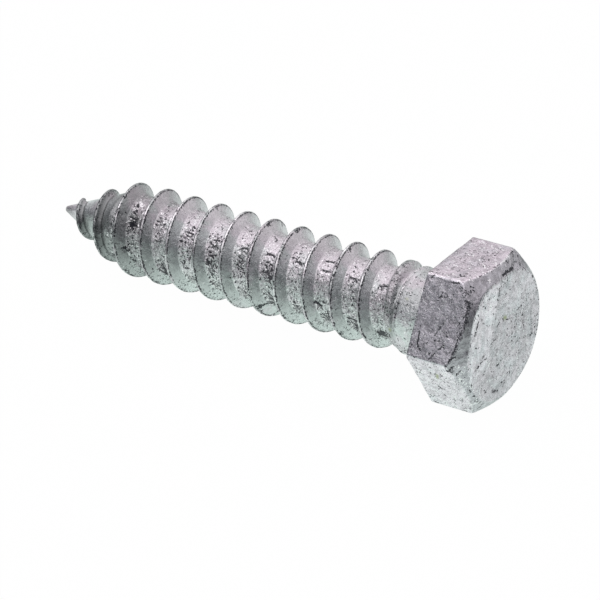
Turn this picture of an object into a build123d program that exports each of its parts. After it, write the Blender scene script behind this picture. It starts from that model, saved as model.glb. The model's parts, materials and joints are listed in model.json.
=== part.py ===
from build123d import *
import math
import os

os.makedirs("parts", exist_ok=True)

# A short hex-head lag screw, hot-dip galvanised, lying on its side.
# Every size is in millimetres and is given once, here.
# While it is being shaped the screw's axis is +X: the tip is at minus length and
# the bearing face, under the head, is at 0. It is laid down at the end.

# thread
major_d = 8.24              # over the crests, zinc included
pitch = 2.8222              # 9 threads to the inch
root_d = 6.14               # between the threads
crest_flat = 0.17
flank_angle = 30.0          # from square to the axis, so the thread has 60 degrees between its flanks
crest_start = -2.52         # where the crest's line would meet angle 0 next to the head

# shank
length = 40.4               # bearing face to tip
neck_d = 7.48               # plain neck between the head and the thread
neck_length = 3.54          # its edge towards the thread stands as a shoulder
under_head_fillet = 0.46

# gimlet point
tip_radius = 0.32
point_half_angle = 23.5     # of the core
point_length = 7.6         # over which the crests grow to their full height
point_start_r = 0.02        # crest line's radius at the very tip
point_growth = 0.76        # 1 is a straight cone, less is a fuller nose
first_turn = 0.04           # ridge's first rise, as a share of point_length

# run-out, where the last crest comes down to the neck
runout_start = -7.06
runout_end = -2.44
last_turn = -0.42           # turns before crest_start where the ridge has sunk into the neck

# head
across_flats = 12.47
head_height = 5.07
corner_round = 0.41
top_face_d = 11.52
chamfer_angle = 36.6        # from the top face
top_edge_bevel = 0.25       # width of its two halves, on the chamfer and on the face

# ridge surfaces
sink = 0.18                 # how far the ridge's foot is let into the core, and its ends
points_per_turn = 12

major_r = major_d / 2
root_r = root_d / 2
neck_r = neck_d / 2
flank = math.tan(math.radians(flank_angle))
point_slope = math.tan(math.radians(point_half_angle))


def blend(low, high, x):
    s = min(1.0, max(0.0, (x - low) / (high - low)))
    return s * s * (3 - 2 * s)


# core radius at the ball's edge, carried on as a straight cone
ball_x = -length + tip_radius * (1 - math.sin(math.radians(point_half_angle)))
ball_r = tip_radius * math.cos(math.radians(point_half_angle))
cone_end = ball_x + (root_r - ball_r) / point_slope


def core_radius(x):
    return min(root_r, ball_r + point_slope * (x - ball_x))


def crest_radius(x):
    grown = max(0.0, (x + length) / point_length)
    r = min(major_r, point_start_r + (major_r - point_start_r) * grown ** point_growth)
    w = blend(runout_start, runout_end, x)
    return r * (1 - w) + neck_r * w


turn_a = (-length + first_turn * point_length - crest_start) / pitch
turn_b = last_turn


def section(t):
    # crest and foot of the ridge at t turns: the first bit rises out of the cone
    # and the last bit sinks into the neck
    x = crest_start + pitch * t
    top = crest_radius(x)
    foot = core_radius(x) - sink
    start = blend(turn_a, turn_a + 0.6, t)
    top = top * start + (core_radius(x) - sink / 3) * (1 - start)
    end = blend(turn_b - 0.22, turn_b, t)
    top = top * (1 - end) + (neck_r - sink / 2) * end
    top = max(top, foot + sink / 4)
    half = crest_flat / 2
    return x, top, foot, half, half + (top - foot) * flank


def at(x, r, t):
    a = 2 * math.pi * t
    return (x, r * math.cos(a), r * math.sin(a))


def corners(t):
    x, top, foot, half, base = section(t)
    return [at(x - base, foot, t), at(x - half, top, t), at(x + half, top, t), at(x + base, foot, t)]


# the ridge: four ruled strips for each turn, closed by a flat face at each end
faces = []
t = turn_a
while t < turn_b - 1e-9:
    t_next = min(turn_b, t + 1)
    if turn_b - t_next < 0.2:
        t_next = turn_b
    steps = max(6, round(points_per_turn * (t_next - t)))
    rows = [corners(t + (t_next - t) * i / steps) for i in range(steps + 1)]
    lines = [Edge.make_spline([row[j] for row in rows]) for j in range(4)]
    for j in range(4):
        faces.append(Face.make_surface_from_curves(lines[j], lines[(j + 1) % 4]))
    t = t_next
faces.append(Face(Wire.make_polygon(corners(turn_a))))
faces.append(Face(Wire.make_polygon(corners(turn_b))))
ridge = Solid(Shell(faces))

# the core: ball tip, cone, root cylinder, shoulder, neck and the fillet under the head
# in two flats
half_turn = math.radians(90 - point_half_angle) / 2
half_way = 1 - math.sin(math.radians(45))
with BuildPart() as core_part:
    with BuildSketch(Plane.XY):
        with BuildLine():
            ThreePointArc(
                (-length, 0),
                (-length + tip_radius * (1 - math.cos(half_turn)), tip_radius * math.sin(half_turn)),
                (ball_x, ball_r),
            )
            Polyline(
                (ball_x, ball_r),
                (cone_end, root_r),
                (-neck_length - (neck_r - root_r) * flank, root_r),
                (-neck_length, neck_r),
                (-under_head_fillet, neck_r),
            )
            Polyline(
                (-under_head_fillet, neck_r),
                (-under_head_fillet * half_way, neck_r + under_head_fillet * half_way),
                (0, neck_r + under_head_fillet),
                (head_height / 3, neck_r + under_head_fillet),
                (head_height / 3, 0),
                (-length, 0),
            )
        make_face()
    revolve(axis=Axis.X)

# the head: a six-sided prism with rounded corners, its top turned to a chamfer
outer = across_flats / math.sqrt(3) * 1.1
slope = math.radians(chamfer_angle)
with BuildPart() as head_part:
    with BuildSketch(Plane.YZ) as hexagon:
        RegularPolygon(across_flats / 2, 6, major_radius=False, rotation=0)
        fillet(hexagon.vertices(), corner_round)
    extrude(amount=head_height)
    with BuildSketch(Plane.XY):
        with BuildLine():
            Polyline(
                (-head_height / 2, 0),
                (-head_height / 2, outer),
                (head_height - (outer - top_face_d / 2) * math.tan(slope), outer),
                (head_height - top_edge_bevel * math.sin(slope), top_face_d / 2 + top_edge_bevel * math.cos(slope)),
                (head_height, top_face_d / 2 - top_edge_bevel),
                (head_height, 0),
                (-head_height / 2, 0),
            )
        make_face()
    revolve(axis=Axis.X, mode=Mode.INTERSECT)

screw = core_part.part + ridge + head_part.part

# Laid down: the lower flat's edge at the bearing face and the lowest full crest
# towards the tip carry it, so the tip leans down by the angle that brings
# the first crest to the surface.
edge_z = -across_flats / 2
lean = math.pi / 2
t = turn_a
while t < turn_b:
    x = crest_start + pitch * t
    z = crest_radius(x) * math.sin(2 * math.pi * t)
    if x < -pitch:
        lean = min(lean, math.atan2(z - edge_z, -x))
    t += 1 / 360
screw = Rotation(0, -math.degrees(lean), 0) * screw
box = screw.bounding_box()
shift = Vector(-(box.min.X + box.max.X) / 2, -(box.min.Y + box.max.Y) / 2, -box.min.Z)
screw = Pos(shift.X, shift.Y, shift.Z) * screw
screw.label = "lag_screw"
export_step(screw, "parts/lag_screw.step")

size = screw.bounding_box().size
print("lean", round(math.degrees(lean), 3), "shift", [round(v, 4) for v in (shift.X, shift.Y, shift.Z)])
print("size", [round(v, 3) for v in (size.X, size.Y, size.Z)], "volume", round(screw.volume, 2))
print("solids", len(screw.solids()), "valid", screw.is_valid, "faces", len(screw.faces()))


def placed(x, y, z):
    c, s = math.cos(lean), math.sin(lean)
    return [round((x * c - z * s + shift.X) / 1000, 6), round((y + shift.Y) / 1000, 6),
            round((x * s + z * c + shift.Z) / 1000, 6)]


# places a mount would use, in metres
print("top face centre", placed(head_height, 0, 0))
print("bearing face centre", placed(0, 0, 0), "on the face", placed(0, (neck_r + under_head_fillet + across_flats / 2) / 2, 0))
print("thread middle", placed((-length - neck_length) / 2, 0, 0))
print("axis towards the head", [round(math.cos(lean), 6), 0, round(math.sin(lean), 6)])
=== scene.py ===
import json
import math
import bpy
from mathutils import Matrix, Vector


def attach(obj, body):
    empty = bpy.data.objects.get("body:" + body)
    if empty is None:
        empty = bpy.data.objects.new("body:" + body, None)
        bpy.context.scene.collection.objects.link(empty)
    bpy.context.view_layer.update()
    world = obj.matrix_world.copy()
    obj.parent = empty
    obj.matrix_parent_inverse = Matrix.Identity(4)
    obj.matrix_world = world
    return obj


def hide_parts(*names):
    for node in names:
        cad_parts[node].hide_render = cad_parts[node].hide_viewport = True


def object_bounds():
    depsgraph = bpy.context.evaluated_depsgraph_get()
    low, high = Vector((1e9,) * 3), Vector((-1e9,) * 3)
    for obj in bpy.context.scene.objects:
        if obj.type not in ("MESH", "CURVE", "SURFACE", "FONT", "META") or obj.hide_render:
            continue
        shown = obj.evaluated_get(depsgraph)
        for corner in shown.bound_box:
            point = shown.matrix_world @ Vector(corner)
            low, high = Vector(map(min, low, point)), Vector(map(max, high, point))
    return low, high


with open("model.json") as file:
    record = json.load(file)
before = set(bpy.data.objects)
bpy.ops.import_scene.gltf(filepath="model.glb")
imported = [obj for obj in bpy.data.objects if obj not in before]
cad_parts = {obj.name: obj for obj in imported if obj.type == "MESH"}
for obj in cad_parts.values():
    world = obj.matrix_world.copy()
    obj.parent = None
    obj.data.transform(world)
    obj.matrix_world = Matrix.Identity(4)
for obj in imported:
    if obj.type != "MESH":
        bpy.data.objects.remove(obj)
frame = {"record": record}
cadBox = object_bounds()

from types import SimpleNamespace

import bpy
import numpy as np
from mathutils import Matrix, Vector

# A hot-dip galvanised lag screw, lying on its side.
# Sizes are in millimetres, in the screw's own frame: x runs along the axis from 0 at the
# bearing face under the head, towards the head; y is the row's y; z points up.
# An angle of 0 is along y and 90 is straight up, so 180 is the side turned to the camera.

bearing = next(m for m in frame["record"]["mounts"] if m["name"] == "head_bearing_face")
axisDir = -np.array(bearing["axis"], float)
axisDir = axisDir / np.linalg.norm(axisDir)
sideDir = np.array([0.0, 1.0, 0.0])
upDir = np.cross(axisDir, sideDir)
bearingCentre = np.array(bearing["pos_m"], float) * [1, 0, 1]
boxLow, boxHigh = np.array(cadBox[0]), np.array(cadBox[1])
boxCentre = (boxLow + boxHigh) / 2
boxMargin = 2e-6            # metres


def toRow(points):
    # own millimetres to the row's metres: the bearing face's centre, plus each number along its own direction
    metres = points / 1000
    placed = bearingCentre + metres[:, :1] * axisDir + metres[:, 1:2] * sideDir + metres[:, 2:] * upDir
    return np.clip(placed, boxLow + boxMargin, boxHigh - boxMargin)   # no zinc lump stands out of the part's box


# small tools

def ramp(low, high, value):
    # 0 below low, 1 above high, and an s-curve between; it falls instead where low is the larger
    s = np.clip((value - low) / (high - low), 0, 1)
    return s * s * (3 - 2 * s)


def near(value, middle, reach):
    # a bell: 1 at the middle, falling to about a third at the reach
    return np.exp(-((value - middle) / reach) ** 2)


def roundTable(degrees, table):
    # a value read off a table of (angle, value) pairs that goes round and meets itself
    angles, values = zip(*table)
    return np.interp(degrees, angles, values, period=360)


def softMax(a, b, radius):
    # the larger of two heights, with the inside corner filled over the given distance
    h = np.maximum(radius - np.abs(a - b), 0) / radius
    return np.maximum(a, b) + h * h * radius / 4


def hills(points, cell, seed):
    # random heights from -1 to 1 on a cubic lattice of that cell, carried smoothly from one lattice point to the next
    latticeSize = 32
    table = np.random.default_rng(seed).uniform(-1, 1, (latticeSize,) * 3)
    place = points / cell
    low = np.floor(place).astype(int)
    f = place - low
    f = f * f * (3 - 2 * f)
    total = np.zeros(points.shape[:-1])
    for corner in range(8):
        step = np.array([corner & 1, corner >> 1 & 1, corner >> 2])
        weight = np.prod(np.where(step == 1, f, 1 - f), axis=-1)
        i = (low + step) % latticeSize
        total += weight * table[i[..., 0], i[..., 1], i[..., 2]]
    return total


def twoHills(points, cell, fineCell, seed, fineShare):
    # hills, plus a share of finer hills from the next seed
    return hills(points, cell, seed) + fineShare * hills(points, fineCell, seed + 1)


def largest(*masks):
    return np.maximum.reduce(np.broadcast_arrays(*masks))


def polar(x, r, angle):
    # a point at radius r and an angle about the screw's axis
    return np.stack([x, r * np.cos(angle), r * np.sin(angle)], -1)


def scratches(u, v, table):
    # each row is a stroke between two places: its mask falls from its strength as a bell of the distance to it
    total = np.zeros(np.shape(u))
    for u0, v0, u1, v1, width, strength in table:
        du, dv = u1 - u0, v1 - v0
        along = np.clip(((u - u0) * du + (v - v0) * dv) / max(du * du + dv * dv, 1e-9), 0, 1)
        total = np.maximum(total, strength * near(np.hypot(u - u0 - along * du, v - v0 - along * dv), 0, width))
    return total


def strewn(seed, count, uRange, vRange, lengths, widths, strengths, slant):
    # short strokes strewn over a rectangle, all leaning about the same way
    leanSpread = 0.45       # radians
    rng = np.random.default_rng(seed)
    u, v = rng.uniform(*uRange, count), rng.uniform(*vRange, count)
    length, lean = rng.uniform(*lengths, count), slant + rng.normal(0, leanSpread, count)
    return np.stack([u, v, u + length * np.cos(lean), v + length * np.sin(lean),
                     rng.uniform(*widths, count), rng.uniform(*strengths, count)], -1)


def weighed(places, weights):
    # the sum of the named places, each times its weight
    return sum(weight * places[key] for key, weight in weights.items())


def shaded(tone, places, lighter):
    # the tone made lighter, or darker below zero, by a share at each named place
    for key, share in lighter.items():
        tone = tone * (1 + share * places[key])
    return tone


def addObject(name, data):
    # an object in the scene, unturned at the origin
    thing = bpy.data.objects.new(name, data)
    bpy.context.scene.collection.objects.link(thing)
    return thing


def makePiece(name, points, triangles, material, masks):
    # points in own millimetres and triangles that face outwards, with one number per vertex for each mask
    used, triangles = np.unique(triangles, return_inverse=True)
    triangles = triangles.reshape(-1, 3)
    points = toRow(points[used])
    mesh = bpy.data.meshes.new(name)
    mesh.vertices.add(len(points))
    mesh.vertices.foreach_set("co", points.astype(np.float32).ravel())
    mesh.loops.add(triangles.size)
    mesh.loops.foreach_set("vertex_index", triangles.astype(np.int32).ravel())
    mesh.polygons.add(len(triangles))
    mesh.polygons.foreach_set("loop_start", np.arange(0, triangles.size, 3, dtype=np.int32))
    mesh.update(calc_edges=True)
    mesh.polygons.foreach_set("use_smooth", np.ones(len(triangles), bool))
    for key, values in masks.items():
        layer = mesh.attributes.new(key, "FLOAT", "POINT")
        layer.data.foreach_set("value", values[used].astype(np.float32))
    mesh.materials.append(material)
    piece = addObject(name, mesh)
    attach(piece, "root")
    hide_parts("lag_screw")
    print(name, "vertices", len(points), "triangles", len(triangles))


def sheetTriangles(index):
    # two triangles for each square of a grid of vertex numbers, without those that have shrunk to a line
    a, b, c, d = index[:-1, :-1], index[1:, :-1], index[1:, 1:], index[:-1, 1:]
    both = np.concatenate([np.stack([a, d, c], -1).reshape(-1, 3), np.stack([a, c, b], -1).reshape(-1, 3)])
    whole = (both[:, 0] != both[:, 1]) & (both[:, 1] != both[:, 2]) & (both[:, 2] != both[:, 0])
    return both[whole]


# materials

def nodeGroup(name, inputs, outputs):
    # inputs by name with their first values: a colour is a tuple, a mask or a size is a number
    group = bpy.data.node_groups.new(name, "ShaderNodeTree")
    for key, value in inputs.items():
        kind = "NodeSocketColor" if isinstance(value, tuple) else "NodeSocketFloat"
        group.interface.new_socket(name=key, in_out="INPUT", socket_type=kind).default_value = value
    for key, kind in outputs.items():
        group.interface.new_socket(name=key, in_out="OUTPUT", socket_type=kind)
    return group


def emptyTree(owner):
    # the node tree of a material or a world, cleared
    owner.use_nodes = True
    owner.node_tree.nodes.clear()
    return owner.node_tree


def addNode(tree, kind, links=None, **settings):
    # one node, its properties set by name, its inputs by socket name or number: a value, or a socket to link from
    node = tree.nodes.new(kind)
    for key, value in settings.items():
        setattr(node, key, value)
    for key, value in (links or {}).items():
        if isinstance(value, bpy.types.NodeSocket):
            tree.links.new(value, node.inputs[key])
        else:
            node.inputs[key].default_value = value
    return node


def calc(tree, operation, a, b=0.0, c=0.0, clamp=False):
    return addNode(tree, "ShaderNodeMath", {0: a, 1: b, 2: c}, operation=operation, use_clamp=clamp).outputs[0]


def mixColour(tree, amount, a, b):
    return addNode(tree, "ShaderNodeMix", {0: amount, 6: a, 7: b}, data_type="RGBA", blend_type="MIX").outputs[2]


def rise(tree, value, low, high, start=0.0, end=1.0):
    # start below low, end above high, and an s-curve between
    return addNode(tree, "ShaderNodeMapRange", {0: value, 1: low, 2: high, 3: start, 4: end},
                   interpolation_type="SMOOTHSTEP").outputs[0]


def noise(tree, vector, scale, detail=2.0, roughness=0.5, distortion=0.0):
    return addNode(tree, "ShaderNodeTexNoise", {"Vector": vector, "Scale": scale, "Detail": detail,
                                                "Roughness": roughness, "Distortion": distortion}).outputs[0]


# what the zinc skin takes in: four colours, sizes in millimetres, amounts, and the masks that each piece gives it
skinInputs = {
    "Cool Tone": (0.57, 0.6, 0.598, 1), "Warm Tone": (0.64, 0.61, 0.64, 1),
    "Dirt And Shade Tone": (0.028, 0.03, 0.038, 1), "Stain Tone": (0.33, 0.36, 0.15, 1),
    "Patch Size": 1.5, "Blotch Size": 0.42, "Grain Size": 0.12, "Speck Size": 0.22, "Streak Length": 0.9,
    "Blotch": 0.16, "Grain": 1.0, "Streaks": 0.0, "Crinkle": 0.0, "Warmth And Light Tint": 0.0, "Tone": 1.0,
    "Specks": 0.0, "Lines": 0.0, "Flecks": 0.0, "Grime And Shade": 0.0, "Wear And Highlights": 0.0, "Stain": 0.0,
}
skin = dict(
    softEdges=(0.36, 0.64),         # of patches, blotches and grain, in the noise's own value
    speckEdge=0.74, speckWidth=0.04, fleckEdge=0.76, fleckWidth=0.05, maskPull=-0.22,
    crumbEdges=(0.42, 0.56), crumbDepth=1.7,
    lineEdges=(0.02, 0.05), linePlaces=(0.75, 1.05), scuffEdges=(0.7, 0.74), streakEdges=(0.34, 0.66),
    streakTurn=(0, -0.658, -0.829), streakWidth=0.12,
    brightZinc=(0.96, 0.96, 0.97, 1), fleckCover=0.85, wornCover=0.9, stainCover=0.8, dirtCover=0.9,
    roughness=0.26, grainRoughness=0.12, dirtRoughness=0.3, fleckRoughness=-0.1,
    grainHeight=0.3, blotchHeight=0.4, streakHeight=0.5, crinkleHeight=2.4, dirtHeight=-0.8, fleckHeight=0.4,
)


def makeZincSkin():
    # the crust that hot dipping leaves. Base colour: cool and warm zinc mixed in patches, which warmth and
    # a painted tint of the light shift, times tone, which carries painted light and shade, and the shade of grain,
    # blotches and streaks; over it bright flecks, and rubbed places with painted highlights, then stains, then
    # dirt with painted shade, which is the largest of specks, crawling lines, grime with painted shade, and scuffs.
    # Height: grain, blotches, streaks and crinkles added up, with dirt sunk and flecks raised.
    k = SimpleNamespace(**skin)
    tree = nodeGroup("zinc skin", skinInputs,
                     {"Color": "NodeSocketColor", "Roughness": "NodeSocketFloat", "Height": "NodeSocketFloat"})
    inside = tree.nodes.new("NodeGroupInput").outputs
    where = addNode(tree, "ShaderNodeTexCoord").outputs["Object"]
    place = addNode(tree, "ShaderNodeMapping", {"Vector": where, "Scale": (1000, 1000, 1000)}).outputs[0]

    def add(a, b):
        return calc(tree, "ADD", a, b)

    def times(a, b, clamp=False):
        return calc(tree, "MULTIPLY", a, b, clamp=clamp)

    def timesPlus(a, b, c, clamp=False):
        return calc(tree, "MULTIPLY_ADD", a, b, c, clamp)

    def larger(a, b, clamp=False):
        return calc(tree, "MAXIMUM", a, b, clamp=clamp)

    def sized(key, detail, roughness, distortion=0.0, factor=1.0):
        # noise whose lumps are about as large as that input says, over the factor
        return noise(tree, place, calc(tree, "DIVIDE", factor, inside[key]), detail, roughness, distortion)

    def centred(value, amount):
        # the value less a half, times the amount
        return times(calc(tree, "SUBTRACT", value, 0.5), amount)

    patch = rise(tree, timesPlus(inside["Warmth And Light Tint"], 0.3, sized("Patch Size", 3.0, 0.6, 0.4)), *k.softEdges)
    blotch = rise(tree, sized("Blotch Size", 2.0, 0.6, 0.5), *k.softEdges)
    grain = rise(tree, sized("Grain Size", 2.0, 0.7), *k.softEdges)
    # brushed streaks: noise drawn out along one slanting direction, and fine across it
    drawnOut = addNode(tree, "ShaderNodeCombineXYZ",
                       {0: inside["Streak Length"], 1: k.streakWidth, 2: k.streakWidth}).outputs[0]
    streakPlace = addNode(tree, "ShaderNodeMapping", {"Vector": place, "Rotation": k.streakTurn, "Scale": drawnOut},
                          vector_type="TEXTURE").outputs[0]
    streak = noise(tree, streakPlace, 1.0, 2.0, 0.6, 0.25)
    # dark pits and pin-holes, bright flecks: their edges move as the masks rise
    speckEdge = timesPlus(inside["Specks"], k.maskPull, k.speckEdge)
    speck = rise(tree, sized("Speck Size", 1.5, 0.6, 0.8), speckEdge, add(speckEdge, k.speckWidth))
    fleckEdge = timesPlus(inside["Flecks"], k.maskPull, k.fleckEdge)
    fleck = rise(tree, sized("Speck Size", 1.0, 0.5, 0.6, 1.1), fleckEdge, add(fleckEdge, k.fleckWidth))
    # a crawling line runs where a slow noise passes its middle value, and only in places
    slow = sized("Speck Size", 1.0, 0.5, 1.4, 0.55)
    fromMiddle = calc(tree, "ABSOLUTE", calc(tree, "SUBTRACT", slow, 0.5))
    thin = calc(tree, "DIVIDE", fromMiddle, timesPlus(inside["Lines"], 1.1, 0.25))
    line = calc(tree, "SUBTRACT", 1.0, rise(tree, thin, *k.lineEdges))
    line = times(line, rise(tree, timesPlus(blotch, 0.5, inside["Lines"]), *k.linePlaces))
    # crumpled like foil: short hollows and rises that catch the light
    crinkle = sized("Speck Size", 2.0, 0.6, 0.7, 0.9)
    scuff = rise(tree, timesPlus(inside["Streaks"], 0.1, streak), *k.scuffEdges)
    # dirt with painted shade, and wear with painted highlights, break up at their edges into crumbs
    crumb = sized("Grain Size", 1.0, 0.6, 0.6, 0.8)
    grimyAndShaded = rise(tree, add(inside["Grime And Shade"], centred(crumb, k.crumbDepth)), *k.crumbEdges)
    rubbedAndLit = rise(tree, add(inside["Wear And Highlights"], centred(crumb, -k.crumbDepth)), *k.crumbEdges)

    shade = add(times(centred(grain, 0.3), inside["Grain"]), centred(blotch, inside["Blotch"]))
    shade = add(shade, times(centred(rise(tree, streak, *k.streakEdges), 0.3), inside["Streaks"]))
    shade = times(add(shade, 1.0), inside["Tone"])
    tone = addNode(tree, "ShaderNodeVectorMath", {0: mixColour(tree, patch, inside["Cool Tone"], inside["Warm Tone"]),
                                                  "Scale": shade}, operation="SCALE").outputs[0]
    tone = mixColour(tree, times(fleck, k.fleckCover), tone, k.brightZinc)
    tone = mixColour(tree, times(rubbedAndLit, k.wornCover), tone, k.brightZinc)
    tone = mixColour(tree, times(inside["Stain"], k.stainCover, clamp=True), tone, inside["Stain Tone"])
    dirtAndShade = larger(larger(speck, times(line, 0.85)), larger(grimyAndShaded, times(scuff, 0.7)), clamp=True)
    tone = mixColour(tree, times(dirtAndShade, k.dirtCover), tone, inside["Dirt And Shade Tone"])

    rough = timesPlus(grain, k.grainRoughness, k.roughness)
    rough = timesPlus(dirtAndShade, k.dirtRoughness, rough)
    rough = timesPlus(fleck, k.fleckRoughness, rough, clamp=True)
    height = times(times(grain, k.grainHeight), inside["Grain"])
    height = timesPlus(blotch, k.blotchHeight, height)
    height = timesPlus(times(streak, inside["Streaks"]), k.streakHeight, height)
    height = timesPlus(times(crinkle, inside["Crinkle"]), k.crinkleHeight, height)
    height = timesPlus(dirtAndShade, k.dirtHeight, height)
    height = timesPlus(fleck, k.fleckHeight, height)
    addNode(tree, "NodeGroupOutput", {"Color": tone, "Roughness": rough, "Height": height})
    return tree


def makeZinc(name, crustGroup, values):
    # one galvanised finish: the zinc skin with its own values, and the piece's masks wired to it
    metallic, bumpDistance = 0.95, 0.00003
    material = bpy.data.materials.new(name)
    tree = emptyTree(material)
    crust = addNode(tree, "ShaderNodeGroup", node_tree=crustGroup)
    for key, value in values.items():
        crust.inputs[key].default_value = value
    for key, mask in maskInputs.items():
        layer = addNode(tree, "ShaderNodeAttribute", attribute_type="GEOMETRY", attribute_name=mask)
        tree.links.new(layer.outputs["Fac"], crust.inputs[key])
    bump = addNode(tree, "ShaderNodeBump", {"Height": crust.outputs["Height"], "Strength": 1.0,
                                            "Distance": bumpDistance})
    shader = addNode(tree, "ShaderNodeBsdfPrincipled", {
        "Base Color": crust.outputs["Color"], "Roughness": crust.outputs["Roughness"],
        "Metallic": metallic, "Normal": bump.outputs[0]})
    addNode(tree, "ShaderNodeOutputMaterial", {0: shader.outputs[0]})
    return material


zincSkin = makeZincSkin()
maskInputs = {"Specks": "pitted", "Lines": "lined", "Flecks": "flecked", "Grime And Shade": "grime", "Wear And Highlights": "worn",
              "Tone": "tone", "Stain": "stained", "Grain": "grained", "Streaks": "streaked", "Crinkle": "crinkled",
              "Warmth And Light Tint": "warmthAndLightTint"}
threadZinc = makeZinc("galvanised thread", zincSkin, {})
headZinc = makeZinc("galvanised head", zincSkin, {
    "Speck Size": 0.19, "Blotch Size": 0.5, "Blotch": 0.34,
    "Cool Tone": (0.602, 0.592, 0.63, 1), "Warm Tone": (0.64, 0.59, 0.636, 1)})
print("materials done")

# threaded shank

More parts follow.
